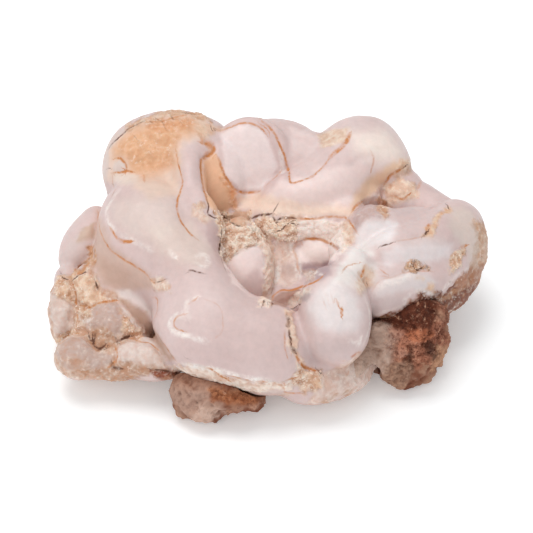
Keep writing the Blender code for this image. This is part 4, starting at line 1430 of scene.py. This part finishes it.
def make_camera():
    eye, right, up, back = picture_axes()
    data = bpy.data.cameras.new("camera")
    data.sensor_width = 36.0
    data.lens = data.sensor_width * DISTANCE / SPAN
    camera = bpy.data.objects.new("camera", data)
    bpy.context.scene.collection.objects.link(camera)
    turn = Matrix((right, up, back)).transposed().to_4x4()
    camera.matrix_world = Matrix.Translation(Vector((eye - MIDDLE) * MM)) @ turn
    bpy.context.scene.camera = camera


def area_light(name, place, aim, size, power):
    data = bpy.data.lights.new(name, "AREA")
    data.shape = "DISK"
    data.size = size
    data.energy = power
    data.color = (1.0, 0.985, 0.972)
    light = bpy.data.objects.new(name, data)
    light.location = place
    light.rotation_mode = "QUATERNION"
    light.rotation_quaternion = (Vector(place) - Vector(aim)).to_track_quat("Z", "Y")
    bpy.context.scene.collection.objects.link(light)


def make_studio():
    """A pale floor, wide soft lights overhead and in front, and light from all round."""
    bm = bmesh.new()
    bmesh.ops.create_grid(bm, x_segments=1, y_segments=1, size=3.0)
    floor = new_object("floor", made_mesh("floor", bm))
    floor.data.materials.append(white_paper())
    area_light("overhead", (-0.12, 0.08, 0.7), (0, 0, 0.02), 0.45, 2.15)
    area_light("front", (-0.25, -0.6, 0.55), (0, 0, 0.02), 0.5, 1.1)
    world = bpy.data.worlds.new("studio")
    bpy.context.scene.world = world
    world.use_nodes = True
    background = world.node_tree.nodes["Background"]
    background.inputs["Color"].default_value = (0.955, 1, 1.02, 1)
    background.inputs["Strength"].default_value = 0.61
    bpy.context.scene.view_settings.view_transform = "Standard"


def make_grains(stone, rock):
    """The druse in the bowl and the grit on the rock, in grains of 0.2 to 0.6 mm."""
    crystal = new_object("crystal", crystal_mesh())
    tree = grain_nodes()
    kinds = [
        (stone, "druse_grains", "chalcedony", {
            "Crystal": crystal, "Crustiness": 0.75, "Per Square Metre": 4e6,
            "Smallest": 0.0002, "Largest": 0.0006, "Seed": 7, "Material": druse(),
        }),
        (rock, "rock_grains", "host_rock", {
            "Crystal": crystal, "Crustiness": 0.62, "Per Square Metre": 3e6,
            "Smallest": 0.0002, "Largest": 0.0005, "Seed": 9, "Material": rock_grit(),
        }),
    ]
    grains = [strew(surface, name, tree, settings) for surface, name, _, settings in kinds]
    bpy.data.objects.remove(crystal)
    for grain, (_, name, slot, settings) in zip(grains, kinds):
        finish_piece(grain, name, slot, settings["Material"])
        grain.data.shade_flat()


make_camera()
stone = make_stone()
rock = make_rock()
make_grains(stone, rock)
finish_piece(stone, "chalcedony_skin", "chalcedony", waxy_chalcedony(), "chalcedony")
finish_piece(rock, "host_rock_skin", "host_rock", rough_rock(), "host_rock")
make_studio()
